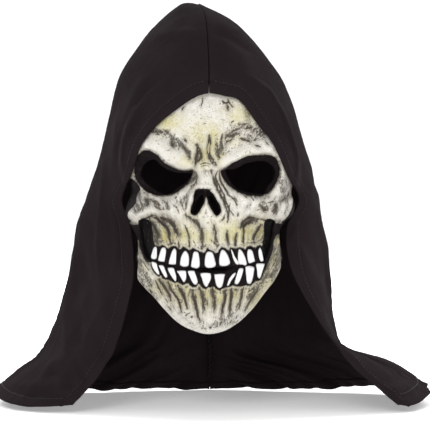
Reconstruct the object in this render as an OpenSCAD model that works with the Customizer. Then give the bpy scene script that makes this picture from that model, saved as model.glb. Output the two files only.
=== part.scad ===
// Hooded latex skull mask: a moulded latex face with a flexing jaw, sewn and glued into the
// front opening of a two-panel cloth hood that drapes over the shoulders.
// Frame: +Z up, the face looks along -Y, X = 0 is the middle of the face, and the origin is
// the middle of the wearer's head at eye level. All sizes are in millimetres.

/* [Latex] */
// Thickness of the moulded latex skin
latex_t = 2; // [1.6:0.2:2.4]
// Gap left between the face and the jaw along the mouth line
mouth_gap = 0.6; // [0.4:0.1:1]
// How far the painted teeth stand proud of the gums
tooth_h = 2; // [1.4:0.2:2.6]

/* [Hood] */
// Thickness of the hood cloth
cloth_t = 0.9; // [0.6:0.1:1]
// Width of the turned hems
hem_w = 12; // [10:1:14]
// Depth of the seam allowance inside the crown seam
seam_d = 8; // [6:1:10]

/* [Elastic] */
// Width of the head elastic
elastic_w = 20; // [16:1:22]
// Thickness of the head elastic
elastic_t = 1.2; // [1:0.1:1.4]
// Front-to-back reach of the elastic behind the head centre
elastic_y = 92; // [86:1:94]

/* [Label] */
// Width of the blank care label
label_w = 18; // [14:1:18]
// Length of the blank care label
label_l = 34; // [28:1:40]

/* [Hidden] */
NA = 38;            // mask grid, across
NB = 56;            // mask grid, up
NR = 33;            // hood grid, crown to hem
NC = 22;            // hood grid, front edge to back seam
C0 = [0, -25];      // middle of the mask outline, as x and z

// ---------------------------------------------------------------- mask outline (x, z)
OUTL = [[77, -24], [74, -14], [75, -6], [77, 4], [77, 15], [73, 29], [68, 44], [60, 60], [46, 76], [25, 87], [0, 91],
        [-25, 87], [-46, 76], [-61, 60], [-69, 45], [-74, 30], [-76, 15], [-75, 3], [-71, -7], [-71, -14], [-75, -25],
        [-76, -33], [-73, -39], [-65.5, -54], [-64, -67], [-64, -79], [-64, -90], [-58, -98], [-50, -106],
        [-40, -117], [-27, -129], [-14, -135.5], [-2, -138.5], [10.5, -136.5], [21.5, -131], [34.5, -120], [48, -104],
        [57.5, -92], [63.5, -80], [63.5, -70], [63, -57], [63.5, -47], [68, -39.5], [75, -33]];
NO = len(OUTL);
function wrap(i) = (i % NO + NO) % NO;
function pang(i) = let(k = floor(i / NO), p = OUTL[wrap(i)] - C0, a = atan2(p[1], p[0]))
    (a < atan2(OUTL[0][1] - C0[1], OUTL[0][0] - C0[0]) - 1e-6 ? a + 360 : a) + 360 * k;
PA = [for (i = [-2:NO + 1]) pang(i)];
PR = [for (i = [-2:NO + 1]) norm(OUTL[wrap(i)] - C0)];
function cr(a, b, c, d, t) = b + 0.5 * t * ((c - a) + t * ((2 * a - 5 * b + 4 * c - d) + t * (3 * (b - c) + d - a)));
function seg(a, i = 1) = (i >= NO + 2 || PA[i + 1] > a) ? i : seg(a, i + 1);
function rad(phi) = let(a = phi < PA[2] ? phi + 360 : phi, i = seg(a), t = (a - PA[i]) / (PA[i + 1] - PA[i]))
    cr(PR[i - 1], PR[i], PR[i + 1], PR[min(i + 2, NO + 3)], t);

// ---------------------------------------------------------------- mask depth
function bump(x, z, cx, cz, sx, sz, a = 0) = let(dx = x - cx, dz = z - cz,
    p = (dx * cos(a) + dz * sin(a)) / sx, q = (-dx * sin(a) + dz * cos(a)) / sz) exp(-(p * p + q * q) / 2);
function edge_y(phi) = let(s = sin(phi)) s > 0 ? -36 - 48 * pow(s, 1.6) : -36 - 44 * pow(-s, 1.5);
// Depth of the smooth egg shape under the features. The rim (s = 1) stops before the shape turns straight back.
function egg(s) = 1 - pow(max(0, 1 - pow(min(1, s), 2.5)), 0.4);
function base_y(s, phi) = -99 + (edge_y(phi) + 99) * egg(0.95 * s) / egg(0.95);
function relief(x, z) = let(m = abs(x + 1))
    -7 * bump(m, z, 36, 25, 22, 7, 28)          // brow ridges
    + 8 * bump(m, z, 38, 0, 18, 9, 8)             // eye sockets
    - 6 * bump(m, z, 0, -2, 6, 15)                // bridge of the nose
    + 8 * bump(x, z, -3, -24, 8, 9)               // nose hole
    - 8 * bump(m, z, 59, -26, 12, 9)              // cheekbones
    - 4 * bump(m, z, 38, -24, 15, 6)              // lower rim of the eye sockets
    + 7 * bump(m, z, 47, -47, 8, 7)               // hollow under the cheekbones
    - 5 * bump(m, z, 0, -60, 34, 22)              // upper jaw
    - 5 * bump(m, z, 0, -123, 22, 11)             // chin
    + 3 * bump(m, z, 0, -103, 30, 5)
    - 3 * bump(m, z, 0, 48, 40, 24)               // forehead
    + 4 * bump(m, z, 56, 50, 10, 16)              // temples
    + 2 * bump(m, z, 7, 27, 4, 10);               // frown lines
function mask_pt(a, b) = let(u = a * sqrt(1 - b * b / 2), w = b * sqrt(1 - a * a / 2), rho = min(1, sqrt(u * u + w * w)),
    phi = (rho < 1e-6) ? 0 : atan2(w, u), s = sin(70 * rho) / sin(70), r = rad(phi) * s,
    x = C0[0] + r * cos(phi), z = C0[1] + r * sin(phi)) [x, base_y(s, phi) + relief(x, z), z];
// Depth of the face at a point of its front view, found from the outline radius in that direction
function face_y(x, z) = let(d = [x, z] - C0, phi = atan2(d[1], d[0]), s = norm(d) / rad(phi)) base_y(s, phi) + relief(x, z);

MG = [for (j = [0:NB]) [for (i = [0:NA]) mask_pt(-1 + 2 * i / NA, -1 + 2 * j / NB)]];

// ---------------------------------------------------------------- sheets of even thickness
function unit(v) = let(n = norm(v)) n > 0 ? v / n : [0, 0, 1];
function gridn(g, r, c, nr, nc) = unit(cross(g[r][min(c + 1, nc)] - g[r][max(c - 1, 0)], g[min(r + 1, nr)][c] - g[max(r - 1, 0)][c]));
// A closed sheet through grid g, from lo to hi along its normals, over rows r0 to r1 and columns c0 to c1
module sheet(g, lo, hi, r0, r1, c0, c1) {
    nr = len(g) - 1; nc = len(g[0]) - 1;
    w = c1 - c0 + 1; n = w * (r1 - r0 + 1);
    pts = [for (k = [lo, hi]) for (r = [r0:r1]) for (c = [c0:c1]) g[r][c] + k * gridn(g, r, c, nr, nc)];
    function at(k, r, c) = k * n + (r - r0) * w + (c - c0);
    top = [for (r = [r0:r1 - 1]) for (c = [c0:c1 - 1]) for (f = [[at(1, r, c), at(1, r + 1, c), at(1, r + 1, c + 1)], [at(1, r, c), at(1, r + 1, c + 1), at(1, r, c + 1)]]) f];
    bot = [for (r = [r0:r1 - 1]) for (c = [c0:c1 - 1]) for (f = [[at(0, r, c), at(0, r + 1, c + 1), at(0, r + 1, c)], [at(0, r, c), at(0, r, c + 1), at(0, r + 1, c + 1)]]) f];
    sr = [for (c = [c0:c1 - 1]) for (f = [
        [at(0, r0, c), at(1, r0, c + 1), at(0, r0, c + 1)], [at(0, r0, c), at(1, r0, c), at(1, r0, c + 1)],
        [at(0, r1, c), at(0, r1, c + 1), at(1, r1, c + 1)], [at(0, r1, c), at(1, r1, c + 1), at(1, r1, c)]]) f];
    sc = [for (r = [r0:r1 - 1]) for (f = [
        [at(0, r, c0), at(0, r + 1, c0), at(1, r + 1, c0)], [at(0, r, c0), at(1, r + 1, c0), at(1, r, c0)],
        [at(0, r, c1), at(1, r + 1, c1), at(0, r + 1, c1)], [at(0, r, c1), at(1, r, c1), at(1, r + 1, c1)]]) f];
    polyhedron(points = pts, faces = concat(top, bot, sr, sc), convexity = 12);
}

// ---------------------------------------------------------------- openings of the face (x, z)
EYE_L = [[-62, 3], [-60, 10], [-55, 15], [-49, 16], [-43, 11], [-36, 7], [-27, 5], [-16, 4], [-17, 1], [-21, -4], [-27, -8], [-34, -13], [-40, -15], [-47, -12], [-54, -7], [-60, -2]];
EYE_R = [[14, 6], [22, 8], [26, 9], [32, 12], [38, 14], [45, 15], [52, 14], [57, 10], [59, 4], [58, -2], [53, -7], [48, -13], [42, -15], [35, -13], [26, -10], [21, -6], [16, 0]];
NOSE_L = [[-8, -16], [-5, -16], [-5, -22], [-9, -30], [-13, -33], [-15, -29], [-12, -21]];
NOSE_R = [[-2, -15], [2, -15.5], [7.5, -23], [10, -30], [8, -33.5], [4.5, -31], [0.5, -23], [-2, -18]];
MOUTH = [[-21, -80.6], [-14, -79.4], [-6, -79.8], [2, -79.8], [9, -79.4], [16, -78.2], [25, -78.4], [19, -82.4], [12, -84.6], [3, -85.2], [-7, -84.8], [-14, -83.2]];
// Upper edge of the jaw part: across the left side opening, along the mouth, and out across the right side opening
JAW_TOP = [[-59, -42], [-58, -52], [-57, -62], [-55, -69], [-52, -73], [-46, -75.2], [-35, -78.2], [-24, -80.6], [-14, -81.6], [0, -82.3], [12, -82], [20, -80.6],
           [27, -79.2], [35, -77.4], [43, -75.6], [48, -72.6], [51.6, -62], [53, -50], [53, -42]];
WEB_L = [[-62, -40], [-61.4, -51], [-60, -61], [-57.4, -69], [-55, -75], [-50, -75], [-50, -60], [-52, -52], [-54, -40]];
WEB_R = [[57.4, -40], [57.4, -49], [55.4, -59], [52, -68], [48.6, -75], [45.6, -75], [47, -60], [48.6, -52], [48.4, -40]];
// Outline of each tooth in the front view: centre x, centre z, width, height, lean, taper
UP = [[-49.5, -67, 6, 11, 6, 0.55], [-42.5, -68.6, 6, 12, 8, 0.6], [-33.5, -70.2, 6.6, 13, 6, 0.6], [-23.5, -71.8, 8, 13, 2, 0.6], [-14, -73, 8, 13.6, 0, 0.6],
      [-1, -72.5, 9.4, 14, 0, 0.62], [11.5, -71.6, 9.6, 13.4, -4, 0.55], [20, -70.4, 3.6, 12.6, -18, 0.7], [26.5, -71, 8, 13.4, -12, 0.5], [34.5, -69.6, 6.4, 12, -6, 0.7], [43, -68.4, 4.6, 11, -6, 0.7]];
LO = [[-48, -80.4, 4.4, 11, 20, 0.6], [-41.5, -83.2, 4.8, 10.6, 22, 0.6], [-33, -86.3, 7, 12, 20, 0.5], [-24, -88.4, 8, 11.4, 10, 0.5], [-14.5, -89.3, 7.6, 12.6, 16, 0.6],
      [-2.5, -91.4, 9.4, 13, 4, 0.45], [9.5, -92, 9, 13, -2, 0.6], [18.5, -90.2, 3.2, 12, -28, 0.6], [25.5, -88, 6, 14, -12, 0.7], [34.5, -86.4, 7.4, 15, -4, 0.6], [43.5, -83.2, 6, 12.6, -4, 0.55]];

// ---------------------------------------------------------------- latex parts
module skin() { sheet(MG, -latex_t, 0, 0, NB, 0, NA); }
module cut_through() { translate([0, 20, 0]) rotate([90, 0, 0]) linear_extrude(170) children(); }
module below_mouth(grow) { offset(delta = grow) polygon(concat([[-95, -42]], JAW_TOP, [[95, -42], [95, -160], [-95, -160]])); }
module gaps() { for (p = [MOUTH, WEB_L, WEB_R]) polygon(p); }
module face_shell() {
    color("ivory") resize([0, 0, 0]) difference() {
        skin();
        cut_through() { below_mouth(mouth_gap / 2); gaps(); for (p = [EYE_L, EYE_R, NOSE_L, NOSE_R]) polygon(p); }
    }
}
module jaw_shell() {
    color("ivory") resize([0, 0, 0]) intersection() {
        skin();
        cut_through() difference() { below_mouth(-mouth_gap / 2); gaps(); }
    }
}
// Black latex skin behind each gap between the cheek and the jaw. It stretches as the jaw opens.
// Point of the face at x, z, moved d along the outward normal
function out_n(x, z) = unit([face_y(x + 1, z) - face_y(x - 1, z), -2, face_y(x, z + 1) - face_y(x, z - 1)]);
function off_pt(x, z, d) = [x, face_y(x, z), z] + d * out_n(x, z);
module web(x0, x1, z0, z1) {
    n = 8; m = 10;
    g = [for (j = [0:m]) [for (i = [0:n]) let(e = abs(2 * i / n - 1)) off_pt(x0 + (x1 - x0) * i / n, z0 + (z1 - z0) * j / m, -latex_t - 0.3 - 3.5 * (1 - e * e))]];
    sheet(g, -1.2, 0, 0, m, 0, n);
}
module cheek_webs() {
    color("black") { web(-63, -47, -79, -37); web(43, 59, -79, -37); }
}
module tooth(t, sgn) {
    w = t[2] / 2; h = t[3] / 2; yl = face_y(t[0] - 1, t[1]); yr = face_y(t[0] + 1, t[1]); turn = atan2(yr - yl, 2);
    k = 1 / cos(turn);
    up = sgn > 0;
    // the narrow end points to the gum: up for an upper tooth, down for a lower one
    translate([t[0], face_y(t[0], t[1]), t[1]]) rotate([0, 0, turn]) translate([0, 0.6, 0]) rotate([90, 0, 0]) rotate(up ? -t[4] : t[4])
        linear_extrude(tooth_h + 0.6) scale([k, up ? 1 : -1])
            polygon([[-w, -h + 1], [-w + 1, -h], [w - 1, -h], [w, -h + 1], [w * 0.92, 0], [w * t[5], h - 1.2], [w * t[5] * 0.4, h], [-w * t[5] * 0.4, h], [-w * t[5], h - 1.2], [-w * 0.92, 0]]);
}
module upper_teeth() { color("white") for (t = UP) tooth(t, 1); }
module lower_teeth() { color("white") for (t = LO) tooth(t, -1); }

// ---------------------------------------------------------------- hood control net
// Rows run from the crown seam down to the bottom hem. Columns run from the front edge round to the back seam.
HL = [[[-1, -99, 74], [-1, -94, 96], [-2, -76, 120], [-4, -49, 143], [-8, -20, 157], [-10, 8, 163]],
      [[-12, -98.5, 70.5], [-18, -91, 95], [-25, -72, 116], [-29, -42, 141], [-28, -2, 160], [-9, 33, 160]],
      [[-25, -96.5, 62.5], [-37, -83, 86], [-49, -60, 108], [-57, -25, 127], [-48, 25, 141], [-8, 62, 148]],
      [[-45, -87, 47], [-62, -66, 67], [-76, -35, 87], [-82, 0, 97], [-63, 62, 105], [-4, 100, 108]],
      [[-59.5, -73, 30], [-80, -44, 38], [-90, -15, 45], [-93, 20, 50], [-72, 80, 55], [-1, 112, 58]],
      [[-70, -54, 3], [-86, -30, 3], [-99, 0, 5], [-105, 30, 8], [-78, 88, 10], [-1, 117, 5]],
      [[-80, -37, -20], [-92, -26, -20], [-107, -4, -20], [-114, 30, -18], [-83, 90, -18], [-1, 116, -22]],
      [[-72, -38, -46], [-89, -30, -45], [-112, -6, -45], [-123, 30, -42], [-88, 92, -45], [-1, 114, -50]],
      [[-69, -56, -90], [-90, -46, -93], [-118, -10, -98], [-133, 30, -100], [-98, 95, -105], [-1, 112, -105]],
      [[-84, -66, -149], [-106, -60, -149], [-133, -30, -148], [-149, 20, -148], [-118, 90, -152], [-1, 118, -158]],
      [[-93, -73, -166], [-119, -67, -167], [-146, -38, -166], [-159, 16, -167], [-134, 88, -169], [-1, 122, -173]],
      [[-103, -80, -181], [-131, -74, -182], [-159, -45, -180], [-175, 12, -179], [-148, 85, -183], [-1, 127, -190]],
      [[-121, -84, -200], [-152, -80, -202], [-182, -50, -201], [-198, 10, -197], [-168, 85, -201], [-1, 132, -206]]];
HR = [[[0, -99, 74], [0, -94, 96], [-1, -76, 120], [-3, -49, 143], [-7, -20, 157], [-9, 8, 163]],
      [[13, -98, 71.5], [17, -90, 95], [21, -71, 115], [22, -42, 136], [17, 0, 148], [-8, 33, 158]],
      [[27, -95, 67], [35, -83, 89], [41, -58, 105], [45, -25, 118], [32, 25, 132], [-7, 62, 146]],
      [[42.5, -87, 47], [56, -67, 64], [64, -35, 82], [67.5, 0, 89], [52, 62, 99], [-3, 100, 108]],
      [[56, -75, 30], [72, -48, 36], [81, -12, 42], [83, 22, 45], [63, 80, 52], [0, 112, 58]],
      [[69.5, -56, 2], [82, -32, 3], [92, 0, 5], [94, 30, 6], [72, 88, 8], [0, 117, 5]],
      [[81.5, -37, -20], [90, -26, -20], [96, -2, -20], [101, 30, -19], [76, 90, -19], [0, 116, -22]],
      [[70.5, -38, -46], [83, -30, -45], [97, -4, -45], [105, 30, -44], [80, 92, -45], [0, 114, -50]],
      [[74, -52, -82], [88, -45, -86], [103, -10, -91], [112, 28, -95], [88, 95, -100], [0, 112, -105]],
      [[97, -62, -126], [105, -53, -131], [113, -20, -136], [116, 20, -138], [97, 92, -148], [0, 118, -158]],
      [[112, -69, -148], [118, -61, -152], [121, -32, -154], [122, 18, -156], [106, 91, -165], [0, 122, -173]],
      [[131, -77, -171], [145, -71, -172], [157, -42, -172], [165, 15, -172], [142, 85, -181], [0, 127, -190]],
      [[167, -81, -200], [179, -75, -201], [192, -48, -199], [203, 10, -195], [170, 85, -200], [0, 132, -206]]];
function clampi(i, n) = max(0, min(n, i));
// Cubic through a list of points, with its ends carried on in a straight line
function pick(l, i) = let(n = len(l) - 1) i < 0 ? 2 * l[0] - l[1] : i > n ? 2 * l[n] - l[n - 1] : l[i];
function along(l, t) = let(n = len(l) - 1, x = max(0, min(1, t)) * n, i = min(floor(x), n - 1)) cr(pick(l, i - 1), l[i], l[i + 1], pick(l, i + 2), x - i);
NH = len(HL) - 1;
function rowat(h, v) = [for (c = [0:5]) along([for (r = [0:NH]) h[r][c]], v)];
function polylen(l, i = 1) = i >= len(l) ? 0 : norm(l[i] - l[i - 1]) + polylen(l, i + 1);
function hood_row(h, v) = let(row = rowat(h, v), u1 = min(0.2, hem_w / polylen(row)))
    [for (c = [0:NC]) along(row, c == 0 ? 0 : u1 + (1 - u1) * (c - 1) / (NC - 1))];
VB = 1 - hem_w / 420;
// A point of the hood that would touch the latex is moved forward until it stands clear of it
function clear(p) = let(d = [p[0], p[2]] - C0, s = norm(d) / rad(atan2(d[1], d[0]))) (p[2] < -12 || p[1] > -20 || s > 1.05) ? p
    : [p[0], min(p[1], face_y(p[0], p[2]) + 2.2 / out_n(p[0], p[2])[1]), p[2]];
function hood(h) = [for (r = [0:NR]) [for (p = hood_row(h, r == NR ? 1 : VB * r / (NR - 1))) clear(p)]];
GL = hood(HL);
GR = hood(HR);
// The cloth lies outside the net, and its turned hems inside it. The right panel is worked out as a left one and mirrored.
function flip(g) = [for (r = g) [for (p = r) [-p[0], p[1], p[2]]]];
GS = [GL, flip(GR)];
module cloth(side, lo, hi, r0, r1, c0, c1) { mirror([side, 0, 0]) sheet(GS[side], lo, hi, r0, r1, c0, c1); }
module hood_panel_left() { color("#2b2428") cloth(0, 0, cloth_t, 0, NR, 0, NC); }
module hood_panel_right() { color("#2b2428") cloth(1, 0, cloth_t, 0, NR, 0, NC); }
module front_hem_left() { color("#2b2428") cloth(0, -cloth_t, 0, 0, NR, 0, 1); }
module front_hem_right() { color("#2b2428") cloth(1, -cloth_t, 0, 0, NR, 0, 1); }
module bottom_hem_left() { color("#2b2428") cloth(0, -cloth_t, 0, NR - 1, NR, 1, NC); }
module bottom_hem_right() { color("#2b2428") cloth(1, -cloth_t, 0, NR - 1, NR, 1, NC); }

// A narrow ribbon that follows a list of points, w wide towards q and t thick along its own normal
function ribbon_grid(p, q) = [for (i = [0:len(p) - 1]) [p[i], q[i]]];
module front_hem_thread() {
    color("#151215") {
        for (s = [0, 1]) {
            g = GS[s];
            rib = [for (r = [0:NR]) let(d = unit(g[r][2] - g[r][1])) [g[r][1] - 1.1 * d, g[r][1] - 0.5 * d]];
            n = [for (r = [0:NR]) gridn(g, r, 1, NR, NC)];
            lift = [for (r = [0:NR]) [for (c = [0, 1]) rib[r][c] + (cloth_t - 0.1) * n[r]]];
            mirror([s, 0, 0]) sheet(lift, 0, 0.5, 0, NR, 0, 1);
        }
    }
}
module bottom_hem_thread() {
    color("#151215") {
        for (s = [0, 1]) {
            g = GS[s];
            r = NR - 1;
            lift = [for (k = [0, 1]) [for (c = [0:NC]) let(d = unit(g[r + 1][c] - g[r][c])) g[r][c] + (0.5 + 0.6 * k) * d + (cloth_t - 0.1) * gridn(g, r, c, NR, NC)]];
            mirror([s, 0, 0]) sheet(lift, 0, 0.5, 0, 1, 0, NC);
        }
    }
}
// Seam allowances of the two panels, overlocked together into one inward fin along the crown and back
module crown_seam() {
    n = 12;
    top = [for (c = [0:n]) let(v = 0.13 + 0.87 * c / n) (along(HL[0], v) + along(HR[0], v)) / 2];
    back = [for (r = [1:26]) let(v = 0.985 * r / 26) (along([for (k = [0:NH]) HL[k][5]], v) + along([for (k = [0:NH]) HR[k][5]], v)) / 2];
    path = concat(top, back);
    m = len(path) - 1;
    mid = [0, 0, 0];
    color("#221c20") {
        // inward is square to the path and in the plane of the seam
        g = [for (i = [0:m]) let(t = unit(path[min(i + 1, m)] - path[max(i - 1, 0)]), inn = unit(cross([1, 0, 0], t)))
            [path[i] - 0.3 * inn, path[i] - seam_d * inn]];
        translate([-0.4, 0, 0]) sheet(g, 0, 0.8, 0, m, 0, 1);
    }
}

// ---------------------------------------------------------------- joint between cloth and latex
module glue_strip() {
    color("#8a7a5a") {
        for (s = [0, 1]) {
            g = GS[s];
            mirror([s, 0, 0]) sheet([for (r = [0:14]) [for (k = [0.15, 0.85]) g[r][0] * (1 - k) + g[r][1] * k]], -cloth_t - 0.8, -cloth_t - 0.1, 0, 14, 0, 1);
        }
    }
}

// ---------------------------------------------------------------- head elastic
EL = [[70, -46], [76, -18], [77, 18], [66, 60], [41, 84], [0, elastic_y]];  // plan of the free part, right half
EX = [50, 54, 58, 62, 65.5];                                               // x of the end that lies on the latex
EZ = 34;
function end_pt(sd, x, dz, d) = off_pt(sd * x, EZ + dz, -latex_t - d);
module ends(sd, d0, d1, w, i0, i1) {
    g = [for (k = [-2:2]) [for (i = [i0:i1]) end_pt(sd, EX[i], k * w / 4, d0)]];
    h = sd > 0 ? g : [for (r = g) [for (i = [len(r) - 1:-1:0]) r[i]]];
    sheet(h, d0 - d1, 0, 0, 4, 0, i1 - i0);
}
function loop_pts() = concat([for (x = [EX[1], EX[2], EX[3], EX[4]]) let(p = end_pt(1, x, 0, 0.5)) [p[0], p[1]]], [for (i = [0:25]) along(EL, i / 25)]);
function left_pts() = concat([for (x = [EX[1], EX[2], EX[3], EX[4]]) let(p = end_pt(-1, x, 0, 0.5)) [p[0], p[1]]], [for (i = [0:24]) let(q = along(EL, i / 25)) [-q[0], q[1]]]);
module head_elastic() {
    pl = left_pts(); pr = loop_pts();
    path = concat(pl, [for (i = [len(pr) - 1:-1:0]) pr[i]]);
    m = len(path) - 1;
    // the ends tilt with the latex they lie on; the free part stands straight
    color("#1a1a1a") {
        g = [for (k = [-2:2]) [for (i = [0:m]) let(e = min(i, m - i), sd = i < m / 2 ? -1 : 1)
            e < 4 ? end_pt(sd, EX[e + 1], k * elastic_w / 4, 0.5)
                  : [path[i][0], path[i][1], EZ + k * elastic_w / 4]]];
        sheet(g, 0, elastic_t, 0, 4, 0, m);
    }
}
module elastic_patches() { color("tan") for (sd = [-1, 1]) ends(sd, 0.6 + elastic_t, 1.6 + elastic_t, elastic_w + 6, 0, 3); }
module elastic_stitching() {
    color("#151515") for (sd = [-1, 1]) for (x = [56, 60]) for (k = [-1, 1]) {
        p = off_pt(sd * x, EZ + k * elastic_w * 0.22, -latex_t - 0.85);
        n = out_n(sd * x, EZ + k * elastic_w * 0.22);
        translate(p) rotate([0, 0, atan2(n[1], n[0])]) rotate([0, 90 - asin(n[2]), 0]) translate([0, 0, -(elastic_t + 1) / 2]) cube([elastic_w * 0.3, 0.7, elastic_t + 1], center = true);
    }
}

// ---------------------------------------------------------------- blank care label
module care_label() {
    // folded double, with its raw edge caught in the back seam
    color("white") translate([-1.6, 107.6, -104 - label_l / 2]) difference() {
        cube([label_w, 1, label_l]);
        translate([3, 0.4, -1]) cube([label_w - 3.6, 0.2, label_l + 2]);
    }
}

face_shell();
jaw_shell();
cheek_webs();
upper_teeth();
lower_teeth();
hood_panel_left();
hood_panel_right();
crown_seam();
front_hem_left();
front_hem_right();
bottom_hem_left();
bottom_hem_right();
front_hem_thread();
bottom_hem_thread();
glue_strip();
head_elastic();
elastic_patches();
elastic_stitching();
care_label();
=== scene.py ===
"""Looks of the hooded latex skull mask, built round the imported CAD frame. Millimetres inside, metres out."""
import math

import bpy
import numpy as np
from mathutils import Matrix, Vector


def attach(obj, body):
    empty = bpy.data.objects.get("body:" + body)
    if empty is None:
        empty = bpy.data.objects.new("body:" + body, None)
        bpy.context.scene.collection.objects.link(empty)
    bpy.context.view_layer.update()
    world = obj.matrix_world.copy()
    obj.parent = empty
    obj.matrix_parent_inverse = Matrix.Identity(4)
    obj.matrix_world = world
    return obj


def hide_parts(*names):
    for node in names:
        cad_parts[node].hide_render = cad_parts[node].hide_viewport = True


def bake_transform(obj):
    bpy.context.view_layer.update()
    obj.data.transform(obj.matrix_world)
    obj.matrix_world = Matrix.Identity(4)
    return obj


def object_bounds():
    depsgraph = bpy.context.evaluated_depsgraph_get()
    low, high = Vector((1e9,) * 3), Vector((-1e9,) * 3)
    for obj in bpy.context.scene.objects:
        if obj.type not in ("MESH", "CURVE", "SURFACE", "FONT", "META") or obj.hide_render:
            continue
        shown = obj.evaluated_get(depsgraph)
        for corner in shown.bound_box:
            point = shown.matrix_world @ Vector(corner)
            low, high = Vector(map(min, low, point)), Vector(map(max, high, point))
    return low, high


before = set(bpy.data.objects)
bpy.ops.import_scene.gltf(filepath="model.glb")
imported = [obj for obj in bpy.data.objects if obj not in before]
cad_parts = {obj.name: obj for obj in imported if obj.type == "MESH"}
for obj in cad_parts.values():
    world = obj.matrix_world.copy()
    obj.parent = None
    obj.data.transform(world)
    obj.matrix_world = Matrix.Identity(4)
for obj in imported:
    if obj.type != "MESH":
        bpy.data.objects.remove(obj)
CAD_LO, CAD_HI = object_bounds()

# ------------------------------------------------------------------ camera geometry shared by the drawing sheets
CAM = np.array([4.8, -1700.0, -33.4])
FACE_PLANE = -85.0


def plane(x, y, z):
    """Where a point in space falls on the face plane, seen from the camera. The drawing sheets are laid out there."""
    k = (FACE_PLANE - CAM[1]) / (y - CAM[1])
    return CAM[0] + (x - CAM[0]) * k, CAM[2] + (z - CAM[2]) * k


# Six drawing sheets for the listed lines, each with its own corner and scale: x = x0 + s X, z = z0 - s Y
SHEETS = {"A": (-71.72, 76.56, 0.05052), "B": (-3.08, 76.56, 0.05052), "C": (-71.72, 14.96, 0.05052),
          "D": (-3.08, 14.96, 0.05052), "E": (-71.72, -55.44, 0.055), "F": (-3.08, -55.44, 0.055)}


SHEETS["P"] = (-184.36, 155.76, 0.88)


def on(sheet, pts):
    x0, z0, s = SHEETS[sheet]
    p = np.array(pts, float).reshape(-1, 2)
    return np.stack([x0 + s * p[:, 0], z0 - s * p[:, 1]], 1)


# ------------------------------------------------------------------ small maths
def crom(p, closed=False, n=6):
    """A smooth line through points."""
    p = np.asarray(p, float)
    m = len(p)
    if closed:
        q = np.concatenate([p[-1:], p, p[:2]])
        spans = m
    else:
        q = np.concatenate([2 * p[:1] - p[1:2], p, 2 * p[-1:] - p[-2:-1]])
        spans = m - 1
    out = []
    for i in range(spans):
        a, b, c, d = q[i], q[i + 1], q[i + 2], q[i + 3]
        for k in range(n):
            t = k / n
            out.append(b + 0.5 * t * ((c - a) + t * ((2 * a - 5 * b + 4 * c - d) + t * (3 * (b - c) + d - a))))
    if not closed:
        out.append(p[-1])
    return np.array(out)


def seg_dist(x, z, line, closed=False):
    """Distance from each point to a line, and how far along the line (0 to 1) the nearest place is."""
    line = np.asarray(line, float)
    a = line if closed else line[:-1]
    b = np.roll(line, -1, 0) if closed else line[1:]
    ln = np.hypot(*(b - a).T)
    acc = np.concatenate([[0], np.cumsum(ln)])
    best = np.full(x.shape, 1e9)
    along = np.zeros(x.shape)
    for i in range(len(a)):
        if ln[i] < 1e-9:
            continue
        d = (b[i] - a[i]) / ln[i]
        px, pz = x - a[i, 0], z - a[i, 1]
        t = np.clip(px * d[0] + pz * d[1], 0, ln[i])
        r = np.hypot(px - t * d[0], pz - t * d[1])
        m = r < best
        best = np.where(m, r, best)
        along = np.where(m, (acc[i] + t) / acc[-1], along)
    return best, along


def inside(x, z, poly):
    r = np.zeros(x.shape, bool)
    a = np.asarray(poly, float)
    b = np.roll(a, -1, 0)
    for (x1, z1), (x2, z2) in zip(a, b):
        c = (z1 > z) != (z2 > z)
        with np.errstate(divide="ignore", invalid="ignore"):
            r ^= c & (x < (x2 - x1) * (z - z1) / (z2 - z1) + x1)
    return r


def signed(x, z, poly):
    """Distance to a closed outline: positive outside, negative inside."""
    d, _ = seg_dist(x, z, poly, True)
    return np.where(inside(x, z, poly), -d, d)


def sstep(a, b, v):
    t = np.clip((v - a) / (b - a), 0, 1)
    return t * t * (3 - 2 * t)


def noise2(x, z, seed=0):
    """Smooth gradient noise in two dimensions, about -1 to 1."""
    r = np.random.RandomState(1000 + seed)
    perm = r.permutation(256)
    ang = r.rand(256) * 2 * math.pi
    gx, gz = np.cos(ang), np.sin(ang)
    xi, zi = np.floor(x).astype(int), np.floor(z).astype(int)
    xf, zf = x - xi, z - zi
    u, v = xf * xf * xf * (xf * (xf * 6 - 15) + 10), zf * zf * zf * (zf * (zf * 6 - 15) + 10)

    def g(ix, iz, dx, dz):
        h = perm[(perm[ix & 255] + iz) & 255]
        return gx[h] * dx + gz[h] * dz

    n00, n10 = g(xi, zi, xf, zf), g(xi + 1, zi, xf - 1, zf)
    n01, n11 = g(xi, zi + 1, xf, zf - 1), g(xi + 1, zi + 1, xf - 1, zf - 1)
    return 1.5 * ((n00 * (1 - u) + n10 * u) * (1 - v) + (n01 * (1 - u) + n11 * u) * v)


def fbm(x, z, scale, octaves=3, seed=0):
    out, amp, tot = 0, 1.0, 0
    for k in range(octaves):
        out = out + amp * noise2(x / scale + 37.1 * k, z / scale - 11.7 * k, seed + k)
        tot += amp
        amp *= 0.5
        scale *= 0.5
    return out / tot


def bump(x, z, cx, cz, sx, sz, a=0.0):
    c, s = math.cos(math.radians(a)), math.sin(math.radians(a))
    dx, dz = x - cx, z - cz
    return np.exp(-(((dx * c + dz * s) / sx) ** 2 + ((-dx * s + dz * c) / sz) ** 2) / 2)


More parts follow.
